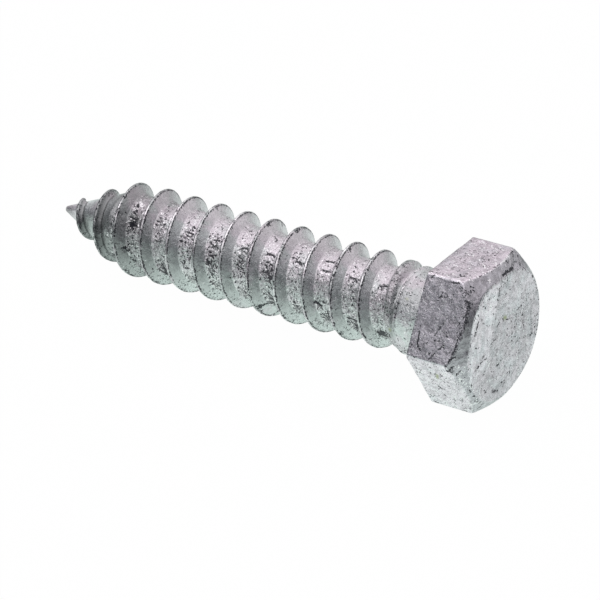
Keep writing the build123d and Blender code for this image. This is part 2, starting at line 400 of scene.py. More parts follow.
shank = dict(
    majorD=8.235, pitch=2.8222, rootD=6.16, crestFlat=0.19, flankAngle=30.0, crestStart=-2.52,
    length=40.4, neckD=7.48, neckLength=3.54, fillet=0.3,
    neckDrop=0.2, dropRamp=(-0.4, 0.2),         # how far the neck sits below the thread's axis, and where that begins
    tipRadius=0.32, pointAngle=23.5, pointLength=7.6, pointStart=0.02, pointGrowth=0.76,
    firstTurn=0.04, riseTurns=0.6,  # the ridge's first rise: its start, as a share of pointLength, and its length
    runoutStart=-7.06, runoutEnd=-3.6, lastTurn=-0.42, sinkTurns=0.22,
    runoutFlat=0.34, runoutRamp=(-6.3, -4.8), runoutLean=0.3,   # the last crest spreads, and leans to the tip
    crestSoft=0.035, cornerFill=0.02, rootFill=0.02, fillRamp=(0.5, 3),     # the root's is added away from the tip
    belowCore=0.1, belowNeck=0.06,              # how far under the surface the ridge starts and ends
    goneTurns=(0.04, 0.18), goneDepth=1.3,      # just past the last turn it sinks out of sight
    # the shoulder's bead: its top, and its height and its fall towards the head by angle
    beadX=-3.45,
    beadHeight=((90, 0.16), (130, 0.16), (150, 0.1), (170, 0.06), (200, 0.05), (260, 0.08), (330, 0.14)),
    beadFall=((90, 0.48), (111, 0.38), (130, 0.32), (140, 0.24), (150, 0.13), (170, 0.12), (200, 0.12), (260, 0.2),
              (330, 0.4)),
    beadRise=0.1, hollow=(160, 24), hollowDepth=0.05, hollowReach=0.06,     # and a hollow behind it, about one angle
    # the grid
    columns=246, crestRows=5, flankStops=(0.07, 0.18, 0.4, 0.68, 0.9, 1.0), rootRows=11, rootCrowding=0.05,
    beadRows=14, beadReach=0.6, neckRows=14, filletRows=8, tipRows=10, tipRing=0.75, insideHead=(0.12, 0.3),
    # lumps and grain in the zinc, the lumps' share off the root, how deep cracks are, and a blister low on one flank
    lumpHeight=0.035, lumpSize=0.62, grainHeight=0.01, grainSize=0.24, offRoot=0.25, crackDepth=0.05, inset=0.004,
    blisterX=-17.2, blisterOff=0.45, blisterAngle=235, blisterReach=(0.33, 19), blisterHeight=0.06, moatDepth=0.05,
    # clusters of pits on the side turned away: its edges by angle, where they are thick, their size and two weights
    farSide=(198, 222), farLow=(222, 22), farSize=1.3, farWeight=1.1, farLowWeight=0.62,
    # where things are: edge of the root band, the thread's two ends, the crest's two dark edges, the head's end,
    # the tip's end, and where the root band starts
    rootEdge=(0.62, 0.69), threadEnds=(2.5, -3.75, -3.55), darkEdges=(-0.1, 0.14), edgeReach=0.055,
    headEndRamp=(-15, -11), tipRamp=(-34, -30), rootStart=(-34.6, -32.6),
    # how light the surface is along the axis; by angle on flanks, roots and neck it is painted light and shade
    toneAlong=((-40.4, 0.87), (-38.9, 0.92), (-38.4, 0.68), (-36.5, 0.56), (-35, 0.5), (-34, 0.55), (-33, 0.73),
               (-31, 0.73), (-28, 0.93), (-25, 1.04), (-20, 1)),
    rootAlong=((-37.5, 1.95), (-36.2, 1.9), (-34.6, 1.75), (-33.7, 0.76), (-31, 0.82), (-28, 0.95), (-25, 1)),
    flankTone=((0, 1), (88, 1.1), (104, 1.03), (128, 0.87), (140, 0.83), (150, 0.94), (158, 0.99), (170, 0.86),
               (180, 0.76), (190, 0.75), (200, 0.88), (215, 1.11), (232, 1.25), (245, 1.32), (270, 1)),
    rootTone=((0, 1), (80, 0.97), (105, 0.94), (118, 1.08), (130, 1.26), (145, 1.1), (160, 1.25), (172, 1.18),
              (190, 1.32), (200, 1.58), (212, 1.88), (225, 1.82), (235, 1.6), (260, 1)),
    neckTone=((0, 1), (80, 0.95), (108, 0.75), (122, 0.72), (134, 0.78), (143, 0.98), (152, 1.36), (163, 1.5),
              (175, 1.18), (200, 1.18), (230, 1.12)),
    # soft smudges and clean patches: along the axis, angle, reach along, reach round, how much lighter
    flankSmudges=((-35.2, 140, 1, 30, -0.33), (-35.2, 195, 1, 20, -0.25), (-32.8, 95, 1, 15, -0.27),
                  (-30, 195, 1.2, 20, -0.2), (-32.2, 138, 0.7, 20, -0.22), (-30, 130, 1.2, 40, -0.06),
                  (-37.9, 150, 0.5, 50, -0.25), (-14.5, 108, 3, 20, -0.1), (-14.5, 158, 3, 20, -0.06)),
    rootSmudges=((-31.1, 137, 0.7, 17, -0.8), (-31.7, 104, 0.5, 6, 0.3), (-30.9, 161, 0.5, 5, 0.5),
                 (-30.5, 205, 0.9, 26, 0.25), (-37, 180, 0.9, 28, -0.45), (-37.7, 92, 0.8, 20, 0.25),
                 (-28.3, 130, 0.7, 25, -0.1), (-27.7, 202, 0.6, 14, -0.5), (-22, 212, 3.5, 18, 0.4),
                 (-14.3, 92, 3.5, 12, -0.12), (-8.3, 145, 3, 14, -0.12), (-8, 224, 3.5, 12, -0.15),
                 (-35.1, 190, 0.5, 25, -0.18)),
    # how much lighter some places are, below zero darker: the blister and the crest's top a little; painted shade
    # on the underside near the tip, and on the run-out ridge and the shoulder's top where they would catch the light
    shares={"blister": -0.08, "topCrest": -0.12, "underside": -0.2, "runoutRidge": -0.16, "topShoulder": -0.26},
    # what each mask adds up from, place by place
    rootPits=((0, 0.6), (60, 0.35), (85, 0.25), (110, 0.26), (124, 0.46), (150, 0.6), (185, 0.55), (205, 0.7),
              (235, 0.85), (280, 0.6)),
    pitted={"all": 0.2, "patches": 0.2, "rootPits": 1, "headPits": -0.4, "thickets": 0.3, "highFlank": -0.04,
            "low": 0.3, "neck": 0.22, "shoulder": 0.45},
    flecked={"all": 0.14, "root": 0.42, "rootPits": 0.6, "lowRoot": 0.2, "frontRoot": 0.35, "neck": 0.35,
             "frontFlank": 0.12, "shoulder": 0.55},
    lined={"all": 0.12, "root": 0.1, "rootPits": 0.5, "headPits": 0.3, "denseThickets": 0.45, "low": 0.45},
    grained={"all": 0.34, "root": 0.66, "neck": 0.35, "low": 0.2},
    crinkled={"root": 0.6, "sideRoot": 0.7, "lowRoot": 0.7, "low": 0.2, "neck": 0.35, "shoulder": 0.9},
    # painted tint of the light: warmer on the tops of roots and flanks, which face the pinkish softbox, and on the
    # low neck against the floor's green; cooler on the sides; warmer on the point's cone and cooler near the tip
    warmthAndLightTint={"topRoot": 0.5, "topFlank": 0.8, "lowNeck": 0.8, "sideFlank": -0.5, "nearTip": -0.5, "sideNeck": -0.4,
            "cone": 1.5},
    tipSideDirt={"all": 0.58, "dashes": 0.18, "nearTip": 0.1, "runout": -0.24},
    headSideDirt={"all": 0.6, "speckle": 0.18, "nearTip": -0.14, "low": -0.18, "runout": -0.28},
    crestWear={"all": 0.04, "runs": 0.16, "low": 0.3, "crumbs": 0.76, "nearTip": -0.12},
    # how far a crack's painted highlight is from it, and how strong grime, painted shade, wear and highlights are
    # at each place
    crackEdge=0.11, pitDirt=0.85, blisterDirt=0.85, crumbDirt=0.52, ridgeDirt=0.52, creaseDirt=0.62,
    beadWear=0.5, crackWear=0.66,
    # yellowish spots: along the axis, angle, twice, then width and strength
    stains=((-2.75, 136.5, -2.7, 137, 0.1, 0.8), (-3.85, 183, -3.8, 185, 0.1, 0.8)), stainDegrees=15,
)
s = SimpleNamespace(**shank)
majorR, rootR, neckR = s.majorD / 2, s.rootD / 2, s.neckD / 2
flankTan = math.tan(math.radians(s.flankAngle))
pointTan = math.tan(math.radians(s.pointAngle))
ballX = -s.length + s.tipRadius * (1 - math.sin(math.radians(s.pointAngle)))
ballR = s.tipRadius * math.cos(math.radians(s.pointAngle))
firstRise = (-s.length + s.firstTurn * s.pointLength - s.crestStart) / s.pitch


def coreRadius(x):
    # the point: a ball run into a straight cone, up to the even root
    ball = np.sqrt(np.maximum(s.tipRadius ** 2 - (x + s.length - s.tipRadius) ** 2, 0))
    cone = np.where(x < ballX, ball, ballR + pointTan * (x - ballX))
    return np.minimum(rootR, cone)


def crestRadius(x):
    # crests grow to full height over the point, as a power of the distance, and come down to the neck at the run-out
    grown = np.maximum(x + s.length, 0) / s.pointLength
    r = np.minimum(majorR, s.pointStart + (majorR - s.pointStart) * grown ** s.pointGrowth)
    w = ramp(s.runoutStart, s.runoutEnd, x)
    return r * (1 - w) + neckR * w


def threadPlace(x, angle):
    # distance from the nearest crest, turns along the helix, and that crest's own x
    turns = (x - s.crestStart) / s.pitch - angle / (2 * np.pi)
    off = (turns - np.round(turns)) * s.pitch
    return off, np.round(turns) + angle / (2 * np.pi), x - off


def crestWidth(crestX):
    # the flat on top of the ridge, which is wider where the thread runs out
    return s.crestFlat + s.runoutFlat * ramp(*s.runoutRamp, crestX)


def ridgeHeight(off, turn, crestX):
    # the crest's height, with its rise at the point and its end in the neck, less the distance beyond its flat
    # over the flank's slope; the edge of the flat is rounded
    rising = ramp(firstRise, firstRise + s.riseTurns, turn)
    top = crestRadius(crestX) * rising + (coreRadius(crestX) - s.belowCore) * (1 - rising)
    ending = ramp(s.lastTurn - s.sinkTurns, s.lastTurn, turn)
    gone = ramp(s.lastTurn + s.goneTurns[0], s.lastTurn + s.goneTurns[1], turn)
    top = top * (1 - ending) + (neckR - s.belowNeck) * ending - s.goneDepth * gone
    flat = crestWidth(crestX)
    beyond = np.abs(off + s.runoutLean * (flat - s.crestFlat)) - flat / 2
    beyond = 0.5 * (beyond + np.sqrt(beyond ** 2 + s.crestSoft ** 2))
    return top + s.crestSoft / 2 / flankTan - beyond / flankTan


def shankRadius(x, angle):
    # the highest of core, ridge and shoulder, with filled corners, then the bead, the neck's drop and the fillet
    core = coreRadius(x)
    ridge = ridgeHeight(*threadPlace(x, angle))
    shoulder = neckR - np.maximum(-s.neckLength - x, 0) / flankTan
    fill = s.rootFill * ramp(*s.fillRamp, x + s.length) + s.cornerFill
    r = softMax(softMax(core, ridge, fill), shoulder, fill)
    # the bead on the shoulder's lip: a short rise, and a straight fall that meets the neck in a crease
    degrees = np.degrees(angle)
    fall = roundTable(degrees, s.beadFall)
    bead = np.where(x < s.beadX, near(x, s.beadX, s.beadRise), np.clip(1 - (x - s.beadX) / fall, 0, 1))
    r = r + roundTable(degrees, s.beadHeight) * bead
    r = r - s.hollowDepth * near(degrees, *s.hollow) * near(x, s.beadX + fall + 0.02, s.hollowReach)
    r = r - s.neckDrop * np.sin(angle) * ramp(*s.dropRamp, x + s.neckLength)
    bend = np.clip(x + s.fillet, 0, s.fillet)
    return r + s.fillet - np.sqrt(s.fillet ** 2 - bend ** 2)


def shankNormal(x, angle):
    # outward normal from the slopes of the radius along the axis and round it
    d = 0.03
    r = shankRadius(x, angle)
    alongX = (shankRadius(x + d, angle) - shankRadius(x - d, angle)) / (2 * d)
    turned = (shankRadius(x, angle + d / 4) - shankRadius(x, angle - d / 4)) / (d / 2) / np.maximum(r, 0.05)
    n = np.stack([-alongX, np.cos(angle) + turned * np.sin(angle), np.sin(angle) - turned * np.cos(angle)], -1)
    return n / np.linalg.norm(n, axis=-1, keepdims=True)


def threadStops():
    # where the rows of one turn lie past its crest: over the flat, down the flank, over the root, up the next flank
    half = s.crestFlat / 2
    foot = half + (majorR - rootR) * flankTan
    rootStops = np.linspace(0, 1, s.rootRows + 1)
    rootStops = rootStops - s.rootCrowding * np.sin(2 * np.pi * rootStops)
    return np.concatenate([
        np.linspace(-half, half, s.crestRows),
        half + (foot - half) * np.array(s.flankStops),
        foot + (s.pitch - 2 * foot) * rootStops[1:],
        s.pitch - half - (foot - half) * np.array(s.flankStops[-2::-1]),
    ])


def shankGrid():
    # rows that follow the thread, cut off at a ring near the tip and at the shoulder's lip,
    # then plain rings on to a pole at each end
    n = s.columns
    stops = threadStops()
    perTurn = len(stops)
    tipX, lipX = -s.length + s.tipRing, -s.neckLength
    firstTurnNumber = math.floor((tipX - s.crestStart) / s.pitch) - 1
    turnCount = math.ceil((lipX - s.crestStart) / s.pitch) - firstTurnNumber + 1
    rowX = (s.crestStart + s.pitch * (firstTurnNumber + np.arange(turnCount + 1))[:, None] + stops).ravel()
    turnPart = np.arange(n) / n
    x = rowX[:, None] + s.pitch * turnPart
    number = np.arange(x.size).reshape(x.shape)
    # plain rings: tip pole side first, then neck side
    quarter = np.pi / 2
    tipStops = tipX - s.tipRing * (1 - np.cos(np.linspace(0, quarter, s.tipRows + 1)[1:-1])) ** 0.9
    beadEnd = s.beadX + s.beadReach
    neckStops = np.concatenate([
        np.linspace(lipX, beadEnd, s.beadRows)[1:], np.linspace(beadEnd, -s.fillet, s.neckRows)[1:],
        -s.fillet + s.fillet * np.sin(np.linspace(0, quarter, s.filletRows)[1:]), s.insideHead])
    start = x.size
    tipRing = start + np.arange(n)
    lipRing = tipRing + n
    slack = 0.25 * s.pitch / perTurn
    number = np.where(x <= tipX + slack, tipRing, np.where(x >= lipX - slack, lipRing, number))
    ringX = np.concatenate([[tipX], [lipX], tipStops, neckStops])
    allX = np.concatenate([np.clip(x, tipX, lipX).ravel(), np.repeat(ringX, n)])
    allAngle = np.tile(turnPart, len(rowX) + len(ringX)) * 2 * np.pi
    # the seam column of a row is the first column of the row one turn on
    seam = np.concatenate([number[:-perTurn], number[perTurn:, :1]], 1)
    rings = start + np.arange(len(ringX) * n).reshape(-1, n)
    rings = np.concatenate([rings, rings[:, :1]], 1)
    tipRings = rings[[0] + list(range(2, 2 + len(tipStops)))][::-1]
    neckRings = rings[[1] + list(range(2 + len(tipStops), len(ringX)))]
    tipPole = len(allX)
    backPole = tipPole + 1
    triangles = np.concatenate([
        sheetTriangles(seam), sheetTriangles(tipRings), sheetTriangles(neckRings),
        sheetTriangles(np.stack([np.full(n + 1, tipPole), tipRings[0]])),
        sheetTriangles(np.stack([neckRings[-1], np.full(n + 1, backPole)])),
    ])
    return np.append(allX, [-s.length, s.insideHead[-1]]), np.append(allAngle, [0, 0]), triangles


shankX, shankAngle, shankTriangles = shankGrid()
baseR = shankRadius(shankX, shankAngle)
baseR[-2:] = 0
base = polar(shankX, baseR, shankAngle)
outwards = shankNormal(shankX, shankAngle)
outwards[-2], outwards[-1] = [-1, 0, 0], [1, 0, 0]
off = threadPlace(shankX, shankAngle)[0]
crestX = shankX - off
degrees = np.degrees(shankAngle)
inThread = ramp(-s.length, -s.length + s.threadEnds[0], shankX) * (1 - ramp(*s.threadEnds[1:], shankX))
inRoot = ramp(*s.rootEdge, np.abs(off)) * inThread
rootBand = inRoot * ramp(*s.rootStart, shankX)
lumps = twoHills(base, s.lumpSize, s.lumpSize / 2, 3, 0.5)
fine = twoHills(base, s.grainSize, s.grainSize / 2, 5, 0.6)
exposed = 1 - ramp(-s.fillet, 0.0, shankX)
height = lumps * s.lumpHeight * (s.offRoot + (1 - s.offRoot) * rootBand) + fine * s.grainHeight * (0.5 + rootBand)
height = height * exposed - s.inset
# an oval blister with a moat about it: 1 is its edge, and the other turns of the thread count as far away
blister = np.hypot((off - s.blisterOff) / s.blisterReach[0], (degrees - s.blisterAngle) / s.blisterReach[1])
blister = blister + 9 * (np.abs(shankX - s.blisterX) > 1)
height += s.blisterHeight * (1 - ramp(0.55, 0.95, blister)) - s.moatDepth * near(blister, 1, 0.14)
helix = shankX - s.crestStart - s.pitch * degrees / 360   # along the axis, as if the thread were laid straight
aroundRoot = np.radians(degrees) * rootR


def onThread(table):
    # strokes given turn by turn, by distance past its crest and angle, laid on the straightened thread
    perDegree = math.radians(rootR)
    return [(d0 - k * s.pitch, a0 * perDegree, d1 - k * s.pitch, a1 * perDegree, width, strength)
            for k, strokes in table.items() for d0, a0, d1, a1, width, strength in strokes]


# dark cracks, turn by turn: distance past its crest, angle, then the other end, width and strength
cracks = {
    2: [(0.9, 214, 1.4, 210, 0.1, 1.2), (0.8, 219, 1.2, 216, 0.08, 1.1), (0.9, 208, 1.5, 214, 0.09, 1.1),
        (1.2, 203, 1.6, 209, 0.08, 1), (1.5, 110, 1.6, 112, 0.07, 0.7), (1.3, 91, 1.35, 92, 0.08, 0.8),
        (1.9, 83, 1.95, 85, 0.08, 0.8), (1.15, 131, 1.3, 127, 0.08, 0.9), (1.3, 127, 1.95, 124, 0.09, 1.1),
        (1.5, 128, 1.5, 133, 0.08, 0.8), (1.55, 139, 1.65, 145, 0.12, 0.6), (1.8, 146, 1.85, 148, 0.08, 0.95),
        (1.88, 157, 1.9, 159, 0.07, 0.9), (1.2, 186, 1.5, 185, 0.07, 0.8), (1.85, 199, 1.8, 207, 0.09, 0.9),
        (1, 207, 1.6, 205, 0.11, 1), (1.15, 213, 1.5, 208, 0.13, 1.1), (1, 176, 1.2, 180, 0.08, 0.6),
        (0.03, 80, 0.08, 82, 0.1, 0.8)],
    3: [(1.5, 214, 1, 226, 0.11, 1.2), (0.9, 215, 1.3, 219, 0.08, 1), (1.3, 205, 1.6, 212, 0.08, 1),
        (1.6, 96, 1.65, 98, 0.08, 0.7), (1.1, 116, 1.3, 117, 0.07, 0.66), (1.2, 105, 1.25, 107, 0.09, 1),
        (1.05, 134, 1.1, 127, 0.07, 0.95), (1.1, 127, 1.7, 127, 0.08, 1), (1.7, 127, 1.85, 132, 0.08, 0.9),
        (1.4, 129, 1.5, 134, 0.08, 0.95), (1.72, 157, 1.78, 159, 0.09, 1.1), (1.2, 146, 1.9, 148, 0.06, 0.6),
        (0.85, 196, 1.4, 195, 0.11, 1), (1.4, 195, 1.9, 198, 0.1, 1), (1, 201, 1.35, 206, 0.09, 0.9),
        (1.35, 206, 1.4, 214, 0.1, 1), (1.1, 221, 1.6, 213, 0.13, 1.1), (-0.05, 213, 0.1, 217, 0.18, 0.9),
        (0.22, 88, 0.26, 90, 0.09, 0.8)],
    4: [(1.5, 209, 1, 225, 0.11, 1.2), (1.2, 208, 1.3, 217, 0.08, 1), (1, 90, 1.05, 92, 0.08, 0.66),
        (1.15, 111, 1.85, 109, 0.1, 1.1), (1.9, 106, 1.9, 112, 0.07, 0.8), (1.1, 130, 1.25, 125, 0.07, 0.8),
        (1.2, 128, 1.95, 127, 0.08, 1), (1.5, 117, 1.55, 119, 0.08, 0.7), (0.75, 182, 1.2, 187, 0.15, 1),
        (1.1, 189, 1.2, 195, 0.09, 0.9), (1.5, 175, 1.4, 181, 0.08, 0.85), (1.5, 180, 1.9, 178, 0.07, 0.75),
        (1.6, 194, 1.75, 201, 0.1, 1), (1.75, 201, 1.4, 211, 0.11, 1.1), (1.4, 211, 1.1, 221, 0.12, 1.1),
        (1, 203, 1.2, 208, 0.09, 0.75)],
    5: [(1.25, 223, 1.05, 231, 0.11, 1.1), (1.5, 95, 1.55, 97, 0.08, 0.7), (0.9, 110, 1.2, 114, 0.07, 0.8),
        (1.2, 114, 1.35, 110, 0.07, 0.8), (1.3, 118, 1.2, 122, 0.08, 0.85), (0.95, 132, 1.1, 127, 0.07, 0.9),
        (1.1, 127, 1.7, 126, 0.09, 1), (1.7, 126, 1.9, 131, 0.08, 0.9), (1.1, 190, 1.2, 197, 0.08, 0.8),
        (1, 204, 1.3, 211, 0.09, 0.9), (1.35, 219, 1, 232, 0.1, 1), (0.85, 186, 1.3, 217, 0.06, 0.75),
        (0.15, 76, 0.2, 84, 0.1, 0.66)],
    6: [(0.9, 88, 1.1, 93, 0.08, 0.9), (1.1, 93, 1.45, 95, 0.08, 0.9), (1.25, 97, 1.3, 100, 0.1, 1.1),
        (1, 130, 1.3, 127, 0.08, 0.9), (1.3, 127, 1.7, 127, 0.09, 1), (1.7, 127, 1.9, 130, 0.07, 0.9),
        (1.2, 142, 1.5, 139, 0.08, 0.9), (1.6, 142, 1.9, 144, 0.08, 0.95), (1.8, 149, 1.85, 152, 0.13, 1.1),
        (1.45, 152, 1.6, 156, 0.1, 1.1), (1.2, 146, 1.3, 149, 0.09, 0.9), (1.7, 160, 1.9, 164, 0.11, 1.1),
        (1.6, 168, 1.8, 173, 0.11, 1), (1.4, 176, 1.6, 181, 0.09, 0.85), (0.8, 196, 1.2, 197, 0.09, 0.9),
        (1.25, 190, 1.6, 197, 0.09, 1), (1.6, 197, 1.5, 206, 0.1, 1.1), (1.05, 214, 1.5, 220, 0.12, 1.1),
        (1, 186, 1.1, 188, 0.09, 0.8), (0.25, 212, 0.35, 218, 0.16, 0.9), (0.1, 78, 0.2, 88, 0.16, 0.62),
        (0.26, 47, 0.28, 48, 0.1, 0.9)],
    7: [(1.3, 90, 1.35, 92, 0.09, 0.7), (1.6, 99, 1.65, 101, 0.08, 0.8), (1, 112, 1.1, 115, 0.07, 0.7),
        (1.4, 108, 1.45, 110, 0.08, 0.7), (1.2, 133, 1.4, 129, 0.08, 0.95), (1.4, 129, 1.9, 128, 0.08, 1),
        (1.9, 128, 2, 132, 0.07, 0.9), (1.6, 133, 1.75, 136, 0.08, 0.9), (1.2, 145, 1.6, 146, 0.08, 0.95),
        (1.25, 149, 1.35, 153, 0.07, 0.9), (1.35, 153, 1.65, 153, 0.07, 0.9), (1.7, 147, 1.8, 152, 0.07, 0.9),
        (1.2, 158, 1.3, 164, 0.08, 0.95), (1.6, 160, 1.8, 164, 0.08, 0.9), (1.5, 167, 1.9, 168, 0.07, 0.75),
        (1, 201, 1.3, 203, 0.09, 0.6), (0.7, 188, 0.9, 190, 0.09, 0.6)],
    8: [(1.2, 95, 1.3, 97, 0.08, 0.7), (1.4, 101, 1.45, 102, 0.08, 0.8), (1.55, 106, 1.6, 107, 0.08, 0.8),
        (1.3, 121, 1.35, 121, 0.08, 0.7), (1.25, 130, 1.95, 129, 0.08, 1), (1.45, 132, 1.7, 138, 0.08, 0.95),
        (1.2, 137, 1.5, 140, 0.08, 0.9), (0.9, 143, 1.35, 142, 0.07, 0.8), (1.85, 141, 1.9, 142, 0.08, 0.8),
        (1.5, 143, 1.6, 144, 0.08, 0.8), (1, 155, 1.5, 157, 0.08, 0.9), (1.5, 157, 1.3, 165, 0.09, 0.95),
        (1.3, 165, 1, 172, 0.09, 0.95), (1, 172, 1.1, 180, 0.08, 0.85), (1.1, 180, 0.8, 187, 0.07, 0.75),
        (1.6, 168, 1.8, 172, 0.08, 0.7), (0.1, 78, 0.2, 80, 0.09, 0.7)],
    9: [(1.3, 98, 1.35, 100, 0.09, 0.75), (1.2, 85, 1.25, 86, 0.1, 0.8), (1.5, 91, 1.55, 92, 0.1, 0.8),
        (0.95, 108, 1, 109, 0.09, 0.8), (1, 113, 1.05, 114, 0.08, 0.7), (1.6, 120, 1.9, 119, 0.08, 0.9),
        (1.6, 123, 1.85, 124, 0.07, 0.9), (1.15, 129, 1.95, 130, 0.09, 1), (1.15, 133, 1.5, 135, 0.08, 0.9),
        (1.8, 137, 2, 139, 0.08, 0.8), (1, 190, 1.5, 189, 0.18, 0.62), (1.2, 168, 1.7, 170, 0.09, 0.62),
        (0.6, 140, 0.9, 138, 0.08, 0.62)],
    10: [(1.35, 196, 1.25, 208, 0.22, 0.6), (1.3, 208, 1.2, 216, 0.16, 1), (1, 88, 1.1, 91, 0.12, 0.65),
         (1.3, 100, 1.35, 103, 0.1, 0.7), (0.9, 118, 1.6, 118, 0.08, 0.7), (0.7, 124, 1.1, 126, 0.08, 0.8),
         (0.8, 131, 0.95, 134, 0.1, 0.85), (1.25, 130, 1.5, 128, 0.08, 0.8), (1.1, 95, 1.15, 97, 0.12, 0.6),
         (1.2, 106, 1.25, 110, 0.12, 0.65), (1.2, 160, 1.25, 163, 0.12, 0.6), (1, 190, 1.4, 188, 0.16, 0.6),
         (1.25, 200, 1.3, 214, 0.16, 0.85)],
    11: [(1, 103, 1.1, 110, 0.12, 1), (0.7, 108, 0.95, 112, 0.08, 0.8), (0.9, 120, 1.3, 124, 0.1, 0.8),
         (0.8, 131, 1.6, 132, 0.12, 0.8), (1, 143, 1.5, 142, 0.2, 1.1), (1.2, 146, 1.3, 148, 0.14, 1),
         (1.4, 136, 1.6, 139, 0.1, 0.9), (0.55, 180, 0.75, 188, 0.14, 0.65), (0.75, 191, 1.3, 189, 0.1, 0.6),
         (1.1, 196, 1.2, 198, 0.1, 0.6), (0.1, 100, 0.15, 108, 0.14, 0.6), (0.5, 128, 0.3, 133, 0.07, 0.6)],
    12: [(0.25, 166, 0.5, 172, 0.12, 0.55), (1.3, 145, 1.3, 155, 0.12, 0.55)],
}
# painted glints: bright highlights beside them
paintedGlints = {
    2: [(1.4, 129.5, 1.9, 127, 0.06, 0.8), (0.9, 170, 1.1, 180, 0.07, 0.7), (1.5, 217, 1.6, 224, 0.09, 1),
        (1.3, 210.5, 1.6, 207, 0.07, 0.8)],
    3: [(1.2, 150, 1.8, 151, 0.06, 1), (1.3, 153, 1.9, 153, 0.06, 0.9), (1.2, 130, 1.3, 133, 0.08, 0.8),
        (1.5, 202, 1.7, 205, 0.1, 0.9), (1.1, 215, 1.3, 221, 0.09, 1)],
    4: [(1.3, 113, 1.8, 111.5, 0.06, 0.8), (1.3, 130, 1.9, 129.5, 0.06, 0.8), (1.3, 183, 1.5, 184, 0.08, 0.8),
        (1.15, 212, 1.2, 219, 0.09, 1), (1.3, 199, 1.5, 203, 0.1, 0.9)],
    5: [(1.2, 129, 1.6, 129, 0.08, 0.8), (1.2, 151, 1.65, 151, 0.1, 0.8), (1.3, 116, 1.5, 120, 0.08, 0.7),
        (1.5, 218, 1.6, 226, 0.09, 1), (1.2, 213, 1.25, 220, 0.08, 0.9)],
    6: [(1.3, 129.5, 1.7, 129.5, 0.06, 0.8), (1.6, 154, 1.7, 154, 0.09, 0.9), (1.3, 144, 1.6, 145, 0.07, 0.8),
        (1.2, 219, 1.5, 223, 0.08, 0.9), (1.2, 193, 1.4, 199, 0.08, 0.9)],
    7: [(1.4, 148, 1.6, 148, 0.09, 1), (1.4, 151, 1.55, 151, 0.08, 0.9), (1.3, 131, 1.9, 130.5, 0.06, 0.8),
        (1.2, 215, 1.35, 224, 0.08, 0.9), (1.6, 187, 1.65, 193, 0.08, 0.8)],
    8: [(1.1, 140, 1.2, 141, 0.1, 0.9), (1.4, 134.5, 1.55, 140.5, 0.06, 0.8), (1.65, 148, 1.9, 148, 0.07, 0.7),
        (1.3, 206, 1.5, 211, 0.08, 0.9)],
    9: [(1.2, 156, 1.9, 157, 0.09, 0.9), (1.2, 131.5, 1.8, 132.5, 0.06, 0.8), (1.2, 212, 1.4, 218, 0.08, 0.9),
        (1.3, 184, 1.4, 189, 0.07, 0.8)],
    10: [(0.8, 108, 1, 110, 0.1, 0.7), (0.9, 127, 1.1, 129, 0.12, 0.9), (1.3, 121, 1.5, 119, 0.1, 0.9),
         (1.4, 126, 1.6, 124, 0.09, 0.9), (0.7, 134, 0.8, 138, 0.09, 0.7), (0.95, 134, 1.2, 136, 0.09, 0.9),
         (1.2, 133, 1.6, 131, 0.07, 0.8)],
    11: [(1.15, 98, 1.3, 104, 0.14, 1), (0.9, 113, 1.05, 117, 0.1, 0.9), (1.3, 109, 1.5, 106, 0.1, 0.8),
         (1.2, 175, 1.3, 183, 0.12, 0.7)],
}
# where pits and crawling lines are thick: distance past the turn's crest, angle, reach, reach in degrees, strength
thickets = {
    2: [(1.2, 221, 0.5, 10, 0.9), (1.7, 128, 0.4, 5, 0.3), (1.5, 150, 0.5, 20, 0.4), (1.4, 190, 0.5, 10, 0.4),
        (1.4, 208, 0.4, 8, 0.9)],
    3: [(1.5, 130, 0.4, 6, 0.4), (1.5, 160, 0.5, 18, 0.4), (1.3, 198, 0.5, 7, 0.8), (1.4, 212, 0.4, 8, 0.8),
        (1.3, 224, 0.5, 10, 0.8)],
    4: [(1.4, 108, 0.4, 6, 0.3), (1.5, 150, 0.5, 20, 0.35), (1.1, 186, 0.4, 7, 0.9), (1.5, 205, 0.4, 12, 0.7),
        (1.3, 219, 0.5, 10, 0.9)],
    5: [(1.2, 116, 0.4, 8, 0.5), (1.4, 129, 0.4, 5, 0.4), (1.4, 175, 0.5, 20, 0.4), (1.2, 205, 0.4, 12, 0.6),
        (1.4, 224, 0.5, 10, 0.9)],
    6: [(1.4, 130, 0.5, 6, 0.4), (1.5, 145, 0.5, 9, 0.7), (1.6, 155, 0.4, 9, 0.9), (1.7, 168, 0.4, 8, 0.8),
        (1.3, 195, 0.4, 8, 0.7)],
    7: [(1.5, 132, 0.4, 7, 0.6), (1.5, 148, 0.4, 8, 0.8), (1.4, 160, 0.5, 8, 0.8), (1.3, 98, 0.5, 12, 0.5)],
    8: [(1.4, 136, 0.5, 8, 0.7), (1.3, 160, 0.5, 12, 0.6)],
    9: [(1.5, 122, 0.4, 6, 0.6), (1.5, 133, 0.5, 7, 0.7), (1.4, 145, 0.5, 8, 0.4), (1.2, 100, 0.5, 12, 0.4)],
    10: [(1.3, 108, 0.5, 16, 0.5), (1.2, 128, 0.5, 8, 0.6), (1.2, 150, 0.5, 14, 0.4), (1.2, 94, 0.5, 10, 0.5)],
}
clusters = np.zeros(len(base))
for k, spots in thickets.items():
    for d, angle, reach, reachAngle, strength in spots:
        clusters += strength * near(helix, d - k * s.pitch, reach) * near(degrees, angle, reachAngle)
headEnd = ramp(*s.headEndRamp, shankX)
# the side turned away has clusters of pits of its own
away = ramp(*s.farSide, (degrees - 20) % 360 + 20)
awayLow = near(degrees, *s.farLow) * (0.7 + 0.3 * headEnd)
farClusters = s.farWeight * ramp(0.25, 0.7, hills(base, s.farSize, 41)) + s.farLowWeight * awayLow
farClusters = away * rootBand * farClusters
ragged = twoHills(base, 0.34, 0.19, 42, 0.6)
pits = ramp(0.46, 0.62, farClusters * 0.62 + 0.34 * ragged * ramp(0.15, 0.5, farClusters))
cracked = scratches(helix, aroundRoot, onThread(cracks))
height -= s.crackDepth * np.maximum(pits, cracked)
shankPoints = base + outwards * height[:, None]

